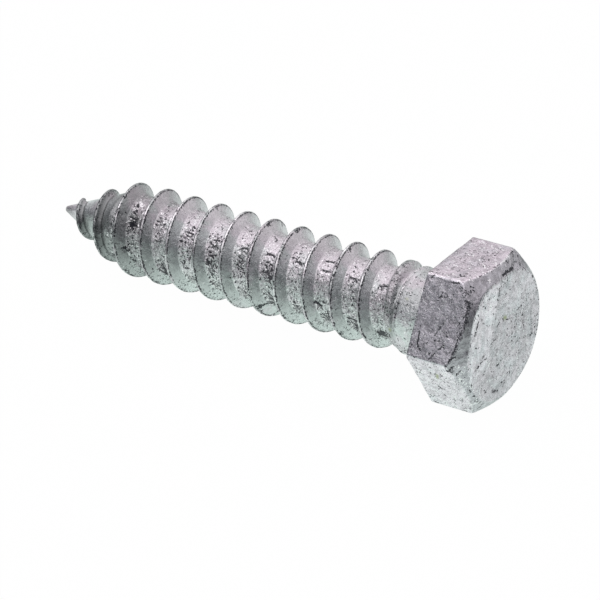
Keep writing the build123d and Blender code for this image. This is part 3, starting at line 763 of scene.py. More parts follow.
# places on the shank, each 1 where it is and 0 elsewhere
lip = s.beadX + roundTable(degrees, s.beadFall)
inNeck = ramp(-0.04, 0.08, shankX - lip)
onFlank = ramp(0.1, 0.18, off) * (1 - ramp(*s.rootEdge, off)) * inThread
low = ramp(195, 215, degrees) * ramp(300, 270, degrees)
nearTip = 1 - ramp(*s.tipRamp, shankX)
atRunout = ramp(*s.runoutRamp, crestX)
runoutRidge = atRunout * near(off, 0, 0.4) * inThread
atShoulder = np.maximum(runoutRidge, near(shankX, s.beadX, 0.22)) * (1 - inNeck)
pitsRound = rootBand * roundTable(degrees, s.rootPits)
onBlister = ramp(1.0, 0.8, blister)
underside = ramp(145, 172, degrees) * ramp(330, 300, degrees) * ramp(-36.2, -36.8, shankX)
crumbs = hills(base, 0.26, 13)
runs = np.maximum(ramp(-0.25, 0.25, hills(base, 2.0, 15)), low)
places = {
    "all": np.ones(len(base)), "root": rootBand, "lowRoot": rootBand * low,
    "frontRoot": rootBand * near(degrees, 158, 14), "sideRoot": rootBand * ramp(100, 125, degrees),
    "topRoot": rootBand * near(degrees, 100, 28), "rootPits": pitsRound, "headPits": pitsRound * headEnd,
    "thickets": rootBand * clusters, "denseThickets": rootBand * np.minimum(clusters, 1.2),
    "patches": hills(base, 1.5, 9), "low": low, "highFlank": onFlank * (1 - low),
    "frontFlank": onFlank * ramp(150, 165, degrees), "topFlank": onFlank * ramp(122, 98, degrees),
    "sideFlank": onFlank * ramp(110, 135, degrees), "neck": inNeck,
    "lowNeck": inNeck * ramp(178, 200, degrees), "sideNeck": inNeck * ramp(115, 145, degrees),
    "shoulder": atShoulder, "topShoulder": atShoulder * near(degrees, 122, 24), "nearTip": nearTip,
    "cone": ramp(-38.2, -38.7, shankX), "runout": atRunout, "runoutRidge": runoutRidge * (1 - low),
    "topCrest": near(off, 0.02, 0.12) * inThread * ramp(135, 115, degrees), "blister": onBlister,
    "underside": underside * (1 + 0.7 * ramp(-38.6, -38.9, shankX)),
    "dashes": ramp(-0.25, 0.15, hills(base, 0.22, 12)), "speckle": ramp(-0.2, 0.3, hills(base, 0.36, 14)),
    "runs": runs, "crumbs": ramp(-0.05, 0.25, crumbs) * (0.4 + 0.6 * runs),
}
masks = {key: weighed(places, shank[key]) for key in ("pitted", "flecked", "lined", "grained", "crinkled", "warmthAndLightTint")}
for key in ("pitted", "flecked", "lined"):
    masks[key] = np.clip(masks[key], 0, 1) * (1 - 0.75 * onBlister)

# grime and painted shade: a dark line on each side of the crest, the pits and cracks, a ring round the blister,
# crumbs on the crest, patches on the ridge near the tip, and painted shadow in the crease behind the bead
across = (off + s.runoutLean * (crestWidth(crestX) - s.crestFlat)) * s.crestFlat / crestWidth(crestX)
# dark lines along the crest's two edges
tipSide = near(across, s.darkEdges[0], s.edgeReach + 0.03 * nearTip - 0.025 * atRunout) * inThread
headSide = near(across, s.darkEdges[1], s.edgeReach - 0.025 * atRunout) * inThread
crestCrumbs = near(across, 0.0, 0.08) * inThread * ramp(0.0, -0.3, crumbs) * (1 - 0.6 * low)
tipRidge = near(off, 0.05, 0.38) * inThread * (1 - ramp(-35.6, -34.2, shankX))
# painted shadow in the crease where the bead's fall meets the neck
crease = near(shankX, lip, 0.07) * (near(degrees, 160, 16) + 0.6 * near(degrees, 105, 22))
grime = largest(s.pitDirt * pits, cracked * (0.86 + 0.2 * ramp(-0.3, 0.3, ragged)),
                tipSide * weighed(places, s.tipSideDirt), headSide * weighed(places, s.headSideDirt))
masks["grime"] = largest(grime * (1 - 0.8 * onBlister), s.blisterDirt * near(blister, 1, 0.11),
                         s.crumbDirt * crestCrumbs, s.creaseDirt * crease,
                         s.ridgeDirt * tipRidge * ramp(-0.1, 0.5, hills(base, 0.5, 44)))
# rubbed bright and painted highlights: the worn crest itself and the top of the bead, the painted glints, and a
# painted highlight on each crack's lower edge, where light from above would catch it
beadTop = near(shankX, s.beadX, s.beadRise) * roundTable(degrees, s.beadHeight) / s.beadHeight[0][1]
crest = near(across, 0.01, s.edgeReach) * inThread * weighed(places, s.crestWear) * (1 - 0.85 * atRunout)
crackHighlights = scratches(helix, aroundRoot - s.crackEdge, onThread(cracks)) * (1 - cracked)
masks["worn"] = largest(crest, s.beadWear * beadTop, scratches(helix, aroundRoot, onThread(paintedGlints)),
                        s.crackWear * crackHighlights)
spots = [(x0, a0 / s.stainDegrees, x1, a1 / s.stainDegrees, width, strength)
         for x0, a0, x1, a1, width, strength in s.stains]
masks["stained"] = scratches(shankX, degrees / s.stainDegrees, spots)
masks["streaked"] = np.zeros(len(base))

# tone: along the axis, times smudges, times painted light and shade by angle on flank, root and neck, times the
# shares
tone = np.interp(shankX, *zip(*s.toneAlong))
for table, place in ((s.flankSmudges, onFlank), (s.rootSmudges, inRoot)):
    for x, angle, reachX, reachAngle, lighter in table:
        tone = tone * (1 + place * lighter * near(shankX, x, reachX) * near(degrees, angle, reachAngle))
tone = tone * (1 + inRoot * (np.interp(shankX, *zip(*s.rootAlong)) - 1))
for place, table in ((onFlank, s.flankTone), (rootBand, s.rootTone), (inNeck, s.neckTone)):
    tone = tone * (1 + place * (roundTable(degrees, table) - 1))
masks["tone"] = shaded(tone, places, s.shares)
makePiece("threadedShank", shankPoints, shankTriangles, threadZinc, masks)

# hex head

head = dict(
    acrossFlats=12.47, height=5.07, cornerRound=0.41, topFaceD=11.52, chamferAngle=36.6,
    bearingEdge=0.17, flatEdge=0.2, topEdge=0.17,
    columnsPerSide=78, bearingRows=10, flatRows=46, chamferRows=12, topRows=56, edgeRows=5, cornerCrowding=0.7,
    lumpHeight=0.022, lumpSize=1.1, swellHeight=0.03, swellSize=2.6, grainHeight=0.007, grainSize=0.26, inset=0.008,
    # a shallow bevel on the left of the top face: the line it starts from, in y and z, and how fast it falls
    bevelY=-1.75, bevelSlope=0.36, bevelZ=1.0, bevelFall=0.028,
    # how much lower the chamfer runs down the sides, and how much further in it starts on the top face, by angle
    chamferDrop=((0, 0), (55, 0), (70, 0.12), (90, 0.26), (108, 0.3), (119, 0.52), (130, 0.22), (150, 0.08),
                 (170, 0.12), (182, 0.14), (205, 0.1), (235, 0)),
    rimDrop=((0, -0.04), (45, -0.04), (60, 0.22), (72, 0.42), (90, 0.58), (98, 0.56), (104, 0.4), (111, 0.27),
             (118, 0.16), (127, 0.24), (141, 0.3), (150, 0.45), (160, 0.55), (169, 0.58), (175, 0.38), (182, 0.28),
             (193, 0.3), (215, 0)),
    # grime along each side's upper edge, painted light and shade on each side by which way it faces, and the
    # chamfer's painted shade, by angle
    edgeGrime=((30, 0.6), (90, 0.46), (150, 0.44), (210, 0.2), (270, 0.6)),
    sideTone=((30, 1), (90, 0.91), (150, 1.14), (210, 1.34), (270, 1), (330, 1)),
    chamferShade=((0, 0.12), (66, 0.14), (90, 0.13), (105, 0.28), (120, 0.37), (165, 0.29), (185, 0.12), (240, 0.15)),
    # what each mask adds up from, place by place
    pitted={"all": 0.34, "smooth": -0.14, "lowSide": 0.35, "patches": 0.45, "chamfer": -0.4, "band": -0.22},
    flecked={"all": 0.5, "sideChamfer": -0.3, "lowChamfer": 0.3},
    grained={"all": 0.62, "chamfer": -0.45, "smooth": -0.22, "band": -0.25},
    streaked={"all": 0.5, "side3": 0.5, "side2": 0.3, "chamfer": -0.4},
    # painted tint of the light: warmer on the top flat, the low flat and the top face, cooler on the flat turned to
    # the camera and on the chamfer
    warmthAndLightTint={"chamfer": -0.9, "flat1": 0.25, "side2": -0.6, "side3": 0.4, "top": 0.15},
    # how much lighter some places are, below zero darker: the top flat near the bearing face; painted shade in
    # the top face's creases and on the chamfer; painted light on the top face
    shares={"foot1": -0.12, "creases": -1, "chamferDark": -1, "topLight": 1},
    # how strong grime and wear are at each place
    rimDirt=0.5, farRimDirt=0.46, cornerDirt=0.6, footDirt=0.52, cornerWear=0.54, edgeWear=0.42, rimWear=0.3,
    # short random strokes, dark and bright: seed, count, ranges along and across, lengths, widths, strengths, slant;
    # the sides take their seeds and slants, and the bright strokes their counts, further down
    sideStrewn=(55, (0.2, 4.2), (-3.3, 3.3), (0.03, 0.4), (0.04, 0.09), (0.42, 0.78)),
    topStrewn=(60, 130, (-5.2, 5.2), (-5.2, 5.2), (0.03, 0.4), (0.04, 0.1), (0.42, 0.74), -0.5),
    topBright=(61, 110, (-5.2, 5.2), (-5.2, 5.2), (0.03, 0.45), (0.04, 0.09), (0.42, 0.7), 1.0),
    sideBright=((0.2, 4.6), (-3.4, 3.4), (0.05, 0.7), (0.04, 0.08), (0.5, 0.85)),
    topStain=(0.18, 1.48, 0.42, 1.34, 0.17, 0.95), sideStain=(2.35, -1.4, 2.55, -1.95, 0.13, 1.1),
    chamferFleck=(-1.5, 5.55, -1.4, 5.7, 0.11, 0.95),
)
h = SimpleNamespace(**head)
apothem = h.acrossFlats / 2
chamferTan = math.tan(math.radians(h.chamferAngle))


def hexRadius(angle):
    # distance from the axis to a hexagon with a corner on angle 0: flats, and arcs of the corner's own radius
    turnOff = (angle + np.pi / 6) % (np.pi / 3) - np.pi / 6     # from the nearest corner
    toFlat = np.pi / 6 - np.abs(turnOff)
    flat = apothem / np.cos(toFlat)
    centre = (apothem - h.cornerRound) / math.cos(math.pi / 6)
    arc = centre * np.cos(turnOff) + np.sqrt(np.maximum(h.cornerRound ** 2 - (centre * np.sin(turnOff)) ** 2, 0))
    onArc = np.abs(turnOff) < math.atan2(h.cornerRound * 0.5, centre + h.cornerRound * math.cos(math.pi / 6))
    return np.where(onArc, arc, flat)


def headColumns():
    # column angles, closer together at the rounded corners
    t = np.linspace(0, 1, h.columnsPerSide + 1)[:-1]
    eased = t - h.cornerCrowding * np.sin(2 * np.pi * t) / (2 * np.pi)
    return ((np.arange(6)[:, None] + eased) * np.pi / 3).ravel()


def chamferEdge(angle, outer):
    # where the chamfer cone meets the hexagon: lower as the hexagon reaches further out, and worn down more in places
    drop = roundTable(np.degrees(angle), h.chamferDrop)
    return h.height - np.maximum(outer - h.topFaceD / 2, 0) * chamferTan - drop


def rimRadius(angle):
    # the top face's own radius, less where the chamfer is wider
    return h.topFaceD / 2 - roundTable(np.degrees(angle), h.rimDrop)


def between(a, b, t):
    # a point the share t of the way from a to b
    return a[0] + (b[0] - a[0]) * t, a[1] + (b[1] - a[1]) * t


def headProfile(angle):
    # for each column: out over the bearing face, up the flat, in along the chamfer and over the top to the pole,
    # with each corner drawn as a quadratic curve between points on its two sides
    outer = hexRadius(angle)
    zero = np.zeros_like(outer)
    top = zero + h.height
    corners = [(zero, zero), (zero, outer), (chamferEdge(angle, outer), outer), (top, rimRadius(angle)), (top, zero)]
    rounds = [h.bearingEdge, h.flatEdge, h.topEdge]
    spans = [h.bearingRows, h.flatRows, h.chamferRows]
    rows = []
    last = corners[0]
    for k, (rounding, span) in enumerate(zip(rounds, spans), 1):
        corner, previous, following = corners[k], corners[k - 1], corners[k + 1]
        before = np.maximum(np.hypot(corner[0] - previous[0], corner[1] - previous[1]), 1e-6)
        after = np.maximum(np.hypot(following[0] - corner[0], following[1] - corner[1]), 1e-6)
        reach = np.minimum(rounding, 0.45 * np.minimum(before, after))
        first, second = between(corner, previous, reach / before), between(corner, following, reach / after)
        rows += [between(last, first, t) for t in np.linspace(0, 1, span + 1)[(1 if k > 1 else 0):]]
        rows += [between(between(first, corner, t), between(corner, second, t), t)
                 for t in np.linspace(0, 1, h.edgeRows + 1)[1:]]
        last = second
    rows += [between(last, corners[4], t) for t in np.linspace(0, 1, h.topRows + 1)[1:]]
    return np.stack([row[0] for row in rows]), np.stack([row[1] for row in rows])


def gridNormals(points):
    # outward normals of a grid that closes round its columns
    alongColumns = np.roll(points, -1, 1) - np.roll(points, 1, 1)
    alongRows = np.gradient(points, axis=0)
    n = np.cross(alongColumns, alongRows)
    return n / np.maximum(np.linalg.norm(n, axis=-1, keepdims=True), 1e-12)


headAngle = headColumns()
gridX, gridR = headProfile(headAngle)
headGrid = polar(gridX, gridR, np.broadcast_to(headAngle, gridX.shape))
headNormals = gridNormals(headGrid)
headNormals[0], headNormals[-1] = [-1, 0, 0], [1, 0, 0]
lumps = twoHills(headGrid, h.lumpSize, h.lumpSize / 2, 21, 0.5)
swells = hills(headGrid, h.swellSize, 25)
fine = twoHills(headGrid, h.grainSize, h.grainSize / 2, 23, 0.6)
centreFade = ramp(0.0, 0.5, gridR)
height = lumps * h.lumpHeight + swells * h.swellHeight + fine * h.grainHeight * centreFade - h.inset
rimR = rimRadius(headAngle)
onTop = ramp(0.14, 0.0, gridR - rimR) * (gridX > h.height / 2)
faceY, faceZ = headGrid[..., 1], headGrid[..., 2]
# the left of the top face is a shallow bevel, from a nearly straight line out to the rim
bandLine = faceY - (h.bevelY + h.bevelSlope * (faceZ - h.bevelZ))
height -= h.bevelFall * np.maximum(-bandLine, 0) * ramp(-4.5, -2.0, faceZ) * onTop
headPoints = headGrid + headNormals * height[..., None]
headPoints[0] = headPoints[0].mean(0)
headPoints[-1] = headPoints[-1].mean(0)
number = np.arange(gridX.size).reshape(gridX.shape)
number[0], number[-1] = number[0, 0], number[-1, 0]
number = np.concatenate([number, number[:, :1]], 1)

# places on the head
outer = hexRadius(headAngle)
edgeX = chamferEdge(headAngle, outer)
sideDegrees = np.degrees(headAngle)
fromCorner = np.abs((sideDegrees + 30) % 60 - 30) * math.pi / 180 * apothem / 0.9
across = gridR * np.sin(np.radians(sideDegrees % 60 - 30))   # along a flat, from its middle
side = np.broadcast_to(sideDegrees // 60, gridX.shape)       # 1 is the top flat, 2 faces the camera, 3 is the low one
sideMiddle = side * 60 + 30
ragged = twoHills(headPoints, 0.33, 0.19, 33, 0.6)
onSide = (gridR > outer - 0.05) & (gridX > 0.05) & (gridX < edgeX + 0.05)
outerWall = (gridX > 0.02) * (1 - onTop)
onChamfer = ramp(-0.05, 0.1, gridX - edgeX) * (1 - onTop) * (gridR > 4.5)
flatWall = outerWall * (1 - onChamfer)
nearRim = gridX > h.height - 0.3
leftBand = ramp(0.12, -0.12, bandLine) * ramp(-3.2, -1.2, faceZ)

# strokes on each side: along the axis, across the flat, then the other end, width and strength
sideStrokes = {
    1: [(2.6, 2.6, 2.85, 2.85, 0.08, 1), (2.85, 2.85, 3.15, 2.6, 0.08, 1), (2.15, 2.2, 2.15, 2.2, 0.1, 0.5),
        (2.98, 1.6, 3, -0.4, 0.06, 0.4), (1.25, 0.3, 1.3, 0.1, 0.1, 0.5), (1.1, -0.65, 1.15, -0.6, 0.08, 0.75),
        (1.8, -0.35, 1.9, -0.35, 0.1, 0.5), (3.2, 0.75, 3.2, 0.7, 0.07, 0.7), (3.05, -1.75, 3.1, -1.75, 0.08, 0.8),
        (2.25, -1.7, 2.3, -1.7, 0.1, 0.5), (3.4, -2, 3.5, -2.1, 0.06, 0.6), (3.6, -2.4, 3.6, -2.45, 0.08, 0.7),
        (0.7, 3.25, 1, 3.15, 0.12, 0.5), (0.3, 3.3, 0.35, 3.3, 0.1, 0.8)],
    2: [(1.2, 2.75, 0.82, 2.35, 0.09, 0.95), (0.82, 2.35, 0.7, 1.3, 0.085, 1.1), (1.95, 1.6, 2.15, 1.25, 0.07, 0.72),
        (2.2, 1.2, 2.5, 0.45, 0.075, 0.66), (2.5, 0.45, 2.85, -0.25, 0.08, 0.68), (2.35, 0.9, 2.75, 0.3, 0.05, 0.5),
        (2.2, 3.3, 2.6, 2.65, 0.1, 0.75), (2.8, 2.35, 3.3, 1.8, 0.12, 0.65), (2.55, 1.6, 2.85, 1.6, 0.1, 0.65),
        (3.2, 0.95, 3.25, 0.9, 0.14, 0.55), (1.35, -0.8, 1.6, -0.85, 0.07, 0.55),
        (1.6, -1.4, 1.95, -2.35, 0.06, 0.62), (2.15, -1.1, 2.2, -1.55, 0.09, 0.52),
        (2.95, -1.7, 2.9, -2.5, 0.08, 0.6), (2.95, -3.15, 2.95, -3.1, 0.08, 0.8), (3.55, -3.1, 3.6, -3.1, 0.12, 0.85),
        (3.6, -0.4, 3.65, -1.1, 0.07, 0.55), (2.5, -3.32, 3, -3.38, 0.08, 0.85), (0.3, 0.35, 0.55, 0.3, 0.08, 0.65),
        (0.75, 3.42, 1, 3.38, 0.07, 0.7), (0.25, 3, 0.25, 2.3, 0.1, 0.5), (4, 3.1, 4.28, 2.1, 0.17, 0.62),
        (4.28, 2.1, 4.55, 1.7, 0.1, 0.5), (4.28, 2.1, 4.32, 1.05, 0.15, 0.6), (4.32, 1.05, 4.58, 0.15, 0.18, 0.62),
        (4.58, 0.15, 4.66, -0.5, 0.18, 0.68), (4.66, -0.5, 4.5, -1.2, 0.2, 0.66), (4.5, -1.2, 4.48, -2, 0.2, 0.64),
        (4.48, -2, 4.12, -2.25, 0.2, 0.66), (4.12, -2.25, 4, -2.9, 0.18, 0.52), (4, -2.9, 4.35, -3.1, 0.25, 0.46),
        (4.2, 2.4, 4.45, -0.2, 0.34, 0.3), (4.4, -0.2, 4.05, -2.9, 0.34, 0.32)],
    3: [(1.9, 0.1, 2.1, 0.4, 0.14, 0.75), (2.3, -1.9, 2.45, -2.1, 0.07, 0.95), (2.55, -1.2, 2.75, -1.5, 0.07, 0.75),
        (2.22, -1.15, 2.3, -1.7, 0.05, 0.6), (0.1, -1.2, 0.4, -1.4, 0.12, 0.6), (0.1, 1.2, 0.35, 1.1, 0.12, 0.6),
        (0.5, 3.25, 0.8, 3.35, 0.12, 0.75), (2.95, 2, 2.98, 1.8, 0.08, 0.65), (4.85, 2.4, 4.95, 2.3, 0.1, 0.6),
        (4.95, 0.9, 5, 0.8, 0.12, 0.65), (4.45, -2.4, 4.6, -2.5, 0.1, 0.7), (4, -3.1, 4.3, -3.35, 0.14, 0.75),
        (4.65, -1.55, 4.8, -1.75, 0.08, 0.6), (0.9, -1.8, 0.75, -2.2, 0.09, 0.5), (1.9, -2, 1.95, -2.05, 0.1, 0.6),
        (2.7, -2.8, 2.75, -2.8, 0.14, 0.6), (2.15, 2.85, 2.35, 2.8, 0.1, 0.55), (4.1, 2.6, 4.2, 2.4, 0.1, 0.5)],
}
# strokes on the top face, in y and z
topStrokes = [
    (-4.3, 1.9, -3.7, 2.9, 0.13, 0.8), (-3.7, 2.95, -3.2, 3, 0.1, 0.5), (-0.5, 4.5, -0.55, 3.9, 0.12, 0.68),
    (-0.3, 3.1, -0.1, 2.85, 0.08, 0.75), (-3.8, 0.5, -3.75, 0, 0.06, 0.5), (-4.5, -1.4, -3.6, -1, 0.16, 0.52),
    (-3.6, -1, -3.2, -0.6, 0.16, 0.52), (-3.1, -2, -2.9, -2.05, 0.16, 0.55), (-3.6, -2.3, -3.1, -2.25, 0.08, 0.52),
    (-1.2, -2.45, -0.9, -2.5, 0.13, 0.8), (-1.5, -3.4, -1.3, -3.7, 0.12, 0.52), (-2, -4.5, -1.2, -4.9, 0.22, 0.6),
    (-0.6, -4.4, 0, -4.5, 0.12, 0.55), (2, 1.2, 3, 1.35, 0.07, 0.62), (3.1, -0.3, 3.2, -0.9, 0.12, 0.58),
    (1.2, -1.2, 1.45, -1.45, 0.11, 0.7), (4.4, 0, 4.45, -2, 0.1, 0.42), (2, -1.7, 4.3, -2, 0.09, 0.36),
    (3.15, 4.6, 3.25, 4.8, 0.1, 0.7), (0.5, 5.6, 1.2, 5.45, 0.18, 0.8), (1.2, 5.45, 1.8, 5.2, 0.14, 0.8),
    (2, -2.8, 2.5, -3, 0.16, 0.42), (0.4, -3.95, 0.6, -4.05, 0.09, 0.6), (0.75, -3.4, 0.9, -3.45, 0.09, 0.55),
    (-0.1, 1.65, -0.05, 1.25, 0.06, 0.75), (-0.05, 1.75, 0.35, 1.75, 0.05, 0.6), (0.45, 1.15, 0.95, 0.98, 0.06, 0.85),
    (-0.3, -0.7, -0.2, -0.75, 0.1, 0.45), (-3.05, 2.6, -2.5, 1.9, 0.05, 0.42), (-2.8, 2.3, -1.9, 1.4, 0.05, 0.4),
]
# strokes on the chamfer, in y and z
chamferStrokes = [
    (3.12, 6.1, 2.8, 6.15, 0.1, 0.7), (3.66, 5.62, 3.45, 5.5, 0.1, 0.7), (2.75, 5.86, 2.55, 5.62, 0.1, 0.6),
    (1.45, 6.2, 1.62, 5.92, 0.17, 0.6), (2.8, 5.42, 2.45, 5.52, 0.08, 0.62), (2.2, 5.42, 1.95, 5.5, 0.08, 0.55),
    (3.4, 5.15, 3.15, 5, 0.08, 0.75), (3.95, 5.05, 4.1, 4.75, 0.1, 0.6), (2.3, 6.25, 2, 6.2, 0.1, 0.6),
    (0.3, 5.38, 1, 5.38, 0.17, 0.75), (1, 5.38, 1.9, 5.32, 0.17, 0.8), (-4.25, -4.4, -3.95, -4.6, 0.1, 0.5),
    (-3.5, -5.6, -3.2, -5.6, 0.12, 0.55), (-3.2, -5.25, -3, -5, 0.08, 0.6), (-5.2, -2.8, -5.05, -3.1, 0.1, 0.5),
    (-4.7, -3.7, -4.5, -3.75, 0.08, 0.6),
]
# painted shade along soft creases in the top face
topCreaseShade = [
    (4.4, 0.6, 4.45, -2, 0.14, 0.2), (2, -1.7, 4.3, -2, 0.14, 0.2), (2, 1.2, 1.9, -0.4, 0.18, 0.12),
    (1.9, -0.4, 2.4, -1.6, 0.18, 0.12), (3.1, 0.3, 3.2, -1, 0.35, 0.14), (-0.6, 4.4, -0.85, 2.9, 0.3, 0.16),
    (-1.6, -4.7, -0.4, -4.6, 0.45, 0.16), (-4.4, -1.4, -3.3, -0.6, 0.28, 0.18), (-3.4, -2.1, -2.4, -3.6, 0.25, 0.12),
    (-1.3, -2.5, -2, -4.2, 0.3, 0.12), (2.2, 3.8, 3.6, 2.6, 0.35, 0.1), (0.8, 4.6, 1.8, 3.4, 0.3, 0.1),
    (1.4, -3.6, 3.2, -2.6, 0.3, 0.1), (-4.2, 1.9, -3.6, 3, 0.25, 0.14), (0.2, -0.4, 1, -2.2, 0.35, 0.08),
]

# grime: random and placed strokes on sides, top and chamfer, then ragged lines along the edges
grime = np.zeros(gridX.shape)
onThisSide = (onTop < 0.5) & (gridX > 0.02)
count, *ranges = h.sideStrewn
for k in range(6):
    strokes = strewn(50 + k, count, *ranges, 1.2 if k == 3 else -1.0)
    mask = np.maximum(scratches(gridX, across, strokes), scratches(gridX, across, sideStrokes.get(k, [])))
    grime = np.where((side == k) & onThisSide, mask, grime)
onFace = largest(scratches(faceY, faceZ, strewn(*h.topStrewn)), scratches(faceY, faceZ, topStrokes))
edgeLine = near(gridX, edgeX, 0.1) * (gridR > outer - 0.4) * outerWall
rimLine = near(gridR, rimR, 0.16) * nearRim
footLine = near(gridX, 0.06, 0.12) * (gridR > outer - 0.3)
farRim = (ramp(240, 265, sideDegrees) + ramp(70, 50, sideDegrees)) * near(gridR, h.topFaceD / 2, 0.14) * nearRim
underCorner = near(fromCorner, 0.15, 0.07) * onSide * (side == 2)
edgeDirt = (roundTable(sideMiddle, h.edgeGrime) * edgeLine * ramp(-0.8, 0.3, ragged)
            + (h.footDirt + 0.12 * (side == 2)) * footLine * ramp(-0.6, 0.4, ragged))
grime = largest(grime, onTop * onFace, edgeDirt, h.rimDirt * rimLine * ramp(-0.2, 0.6, ragged),
                h.farRimDirt * farRim * ramp(-0.9, 0.1, ragged), onChamfer * scratches(faceY, faceZ, chamferStrokes),
                h.cornerDirt * underCorner * ramp(-0.4, 0.5, ragged))
# rubbed bright: corners, edges and rim, a fleck on the chamfer, and random strokes on the top and two sides
cornerLine = near(fromCorner, 0, 0.08) * onSide
worn = largest(h.cornerWear * cornerLine * ramp(-0.9, 0.2, ragged), h.edgeWear * edgeLine * (side != 2),
               h.rimWear * rimLine,
               onChamfer * scratches(faceY, faceZ, [h.chamferFleck]),
               onTop * scratches(faceY, faceZ, strewn(*h.topBright)))
for k, count, slant in ((1, 60, 0.6), (3, 80, 1.35)):
    bright = scratches(gridX, across, strewn(70 + k, count, *h.sideBright, slant))
    worn = np.where((side == k) & (onTop < 0.5), np.maximum(worn, bright), worn)
stained = largest(onTop * scratches(faceY, faceZ, [h.topStain]),
                  (side == 3) * outerWall * scratches(gridX, across, [h.sideStain]))

lowSide = ramp(1.0, 0.3, edgeX - gridX) * (side == 2) * flatWall
band = onTop * leftBand
places = {
    "all": np.ones(gridX.shape), "patches": hills(headPoints, 1.6, 31), "chamfer": onChamfer, "top": onTop,
    "lowSide": lowSide, "smooth": flatWall * (1 - lowSide), "band": band,
    "side2": (side == 2) * outerWall, "side3": (side == 3) * outerWall, "flat1": (side == 1) * flatWall,
    "sideChamfer": onChamfer * ramp(185, 170, sideDegrees),
    "lowChamfer": onChamfer * ramp(170, 185, sideDegrees) * ramp(260, 230, sideDegrees),
    "foot1": (side == 1) * outerWall * ramp(0.65, 0.25, gridX),
    "creases": onTop * scratches(faceY, faceZ, topCreaseShade),
    "chamferDark": roundTable(sideDegrees, h.chamferShade) * onChamfer,
    # painted light on the top face: lighter on its bevel and towards the top
    "topLight": onTop * (0.19 * leftBand + 0.2 * ramp(0.6, 3.5, faceZ) - 0.07 * near(bandLine, 0.8, 1.2)),
}
masks = {key: weighed(places, head[key]) for key in ("pitted", "flecked", "grained", "streaked", "warmthAndLightTint")}
masks["pitted"] = np.clip(masks["pitted"], 0, 1)
masks["lined"] = (0.3 + 0.2 * hills(headPoints, 2.0, 32)) * (1 - 0.9 * onChamfer) * (1 - 0.7 * band)
masks["crinkled"] = np.full(gridX.shape, 0.15)
# tone: painted light and shade on each flat by which way it faces, times the shares
masks["tone"] = shaded(1 + flatWall * (roundTable(sideMiddle, h.sideTone) - 1), places, h.shares)
masks.update(grime=grime, worn=worn, stained=stained)
makePiece("hexHead", headPoints.reshape(-1, 3), sheetTriangles(number), headZinc,
          {key: mask.ravel() for key, mask in masks.items()})

# stage, light and camera

studioStage = dict(
    floorSize=3.0, floorTone=(0.86, 0.885, 0.875, 1), floorGloss=(0.875, 0.985, 0.935, 1),
    # a painted pool of light: the floor's glow in reflections is full near the object and fades further out
    poolFull=0.02, poolEnd=0.1, poolRest=0.22,         # the floor's gloss fades away from the object
    glossShown=0.88, whiteShown=0.985, backdropInGloss=0.1,
    worldSide=(0.028, 0.033, 0.05, 1), worldTop=(1.067, 1.011, 1.055, 1), worldBack=(0.755, 0.74, 0.755, 1),
    backEdges=(0.05, 0.75), topEdges=(0.38, 0.62),
    lampAzimuth=262, lampElevation=55, lampDistance=0.7, lampSize=0.9, lampPower=1.0, lampColour=(1.0, 0.955, 0.995),
)
g = SimpleNamespace(**studioStage)
white = (1, 1, 1, 1)


def directionTo(azimuth, elevation):
    # from the object towards a place: azimuth 0 is the side that looks along +y
    a, e = math.radians(azimuth), math.radians(elevation)
    return Vector((math.sin(a) * math.cos(e), -math.cos(a) * math.cos(e), math.sin(e)))


def mixShader(tree, amount, a, b):
    return addNode(tree, "ShaderNodeMixShader", {0: amount, 1: a.outputs[0], 2: b.outputs[0]})


floorMesh = bpy.data.meshes.new("floor")
half = g.floorSize / 2
corners = [(x * half, y * half, boxLow[2]) for x, y in ((-1, -1), (1, -1), (1, 1), (-1, 1))]
floorMesh.from_pydata(corners, [], [(0, 1, 2, 3)])
floor = addObject("floor", floorMesh)
floorPaint = bpy.data.materials.new("white table")
tree = emptyTree(floorPaint)
path = addNode(tree, "ShaderNodeLightPath").outputs
paint = addNode(tree, "ShaderNodeBsdfDiffuse", {"Color": g.floorTone})
plainWhite = addNode(tree, "ShaderNodeEmission", {"Color": white, "Strength": 1.0})
where = addNode(tree, "ShaderNodeTexCoord").outputs["Object"]
fromMiddle = addNode(tree, "ShaderNodeVectorMath", {0: where}, operation="LENGTH").outputs[1]
# the painted pool of light in the floor's gloss
paintedLightPool = rise(tree, fromMiddle, g.poolFull, g.poolEnd, 1.0, g.poolRest)
gloss = addNode(tree, "ShaderNodeEmission", {"Color": g.floorGloss, "Strength": paintedLightPool})
mirrored = calc(tree, "MAXIMUM", path["Is Glossy Ray"], path["Is Transmission Ray"])
surface = mixShader(tree, calc(tree, "MULTIPLY", mirrored, g.glossShown), paint, gloss)
surface = mixShader(tree, calc(tree, "MULTIPLY", path["Is Camera Ray"], g.whiteShown), surface, plainWhite)
addNode(tree, "ShaderNodeOutputMaterial", {0: surface.outputs[0]})
floorMesh.materials.append(floorPaint)

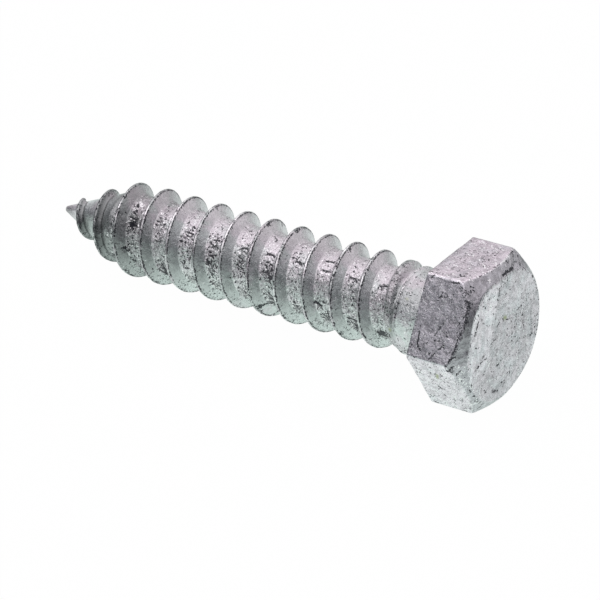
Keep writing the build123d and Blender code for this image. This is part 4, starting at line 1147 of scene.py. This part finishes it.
world = bpy.data.worlds.new("studio")
bpy.context.scene.world = world
tree = emptyTree(world)
direction = addNode(tree, "ShaderNodeTexCoord").outputs["Generated"]
split = addNode(tree, "ShaderNodeSeparateXYZ", {0: direction}).outputs
sky = mixColour(tree, rise(tree, split[1], *g.backEdges), g.worldSide, g.worldBack)
sky = mixColour(tree, rise(tree, split[2], *g.topEdges), sky, g.worldTop)
studio = addNode(tree, "ShaderNodeBackground", {"Color": sky, "Strength": 1.0})
backdrop = addNode(tree, "ShaderNodeBackground", {"Color": white, "Strength": 1.0})
path = addNode(tree, "ShaderNodeLightPath").outputs
seen = calc(tree, "MAXIMUM", path["Is Camera Ray"], path["Is Transmission Ray"])
seen = calc(tree, "MAXIMUM", seen, calc(tree, "MULTIPLY", path["Is Glossy Ray"], g.backdropInGloss))
addNode(tree, "ShaderNodeOutputWorld", {0: mixShader(tree, seen, studio, backdrop).outputs[0]})

# one large square softbox overhead
lamp = bpy.data.lights.new("overheadSoftbox", "AREA")
lamp.shape, lamp.size, lamp.size_y = "RECTANGLE", g.lampSize, g.lampSize
lamp.energy, lamp.color = g.lampPower, g.lampColour
softbox = addObject("overheadSoftbox", lamp)
back = directionTo(g.lampAzimuth, g.lampElevation)
softbox.location = Vector(boxCentre) + back * g.lampDistance
softbox.rotation_mode = "QUATERNION"
softbox.rotation_quaternion = back.to_track_quat("Z", "Y")

view = dict(azimuth=33.5617, elevation=31.2369, roll=0.8586, distance=0.349142, lens=243.8,
            aim=(0.002148, 0.0, -0.003634))
lens = bpy.data.cameras.new("camera")
lens.lens, lens.sensor_width = view["lens"], 36
lens.clip_start, lens.clip_end = 0.01, 10
camera = addObject("camera", lens)
back = directionTo(view["azimuth"], view["elevation"])
camera.location = Vector(boxCentre) + Vector(view["aim"]) + back * view["distance"]
camera.rotation_mode = "QUATERNION"
rolled = Matrix.Rotation(math.radians(view["roll"]), 4, "Z").to_quaternion()
camera.rotation_quaternion = back.to_track_quat("Z", "Y") @ rolled
bpy.context.scene.camera = camera
bpy.context.scene.view_settings.view_transform = "Standard"
print("stage, light and camera done")
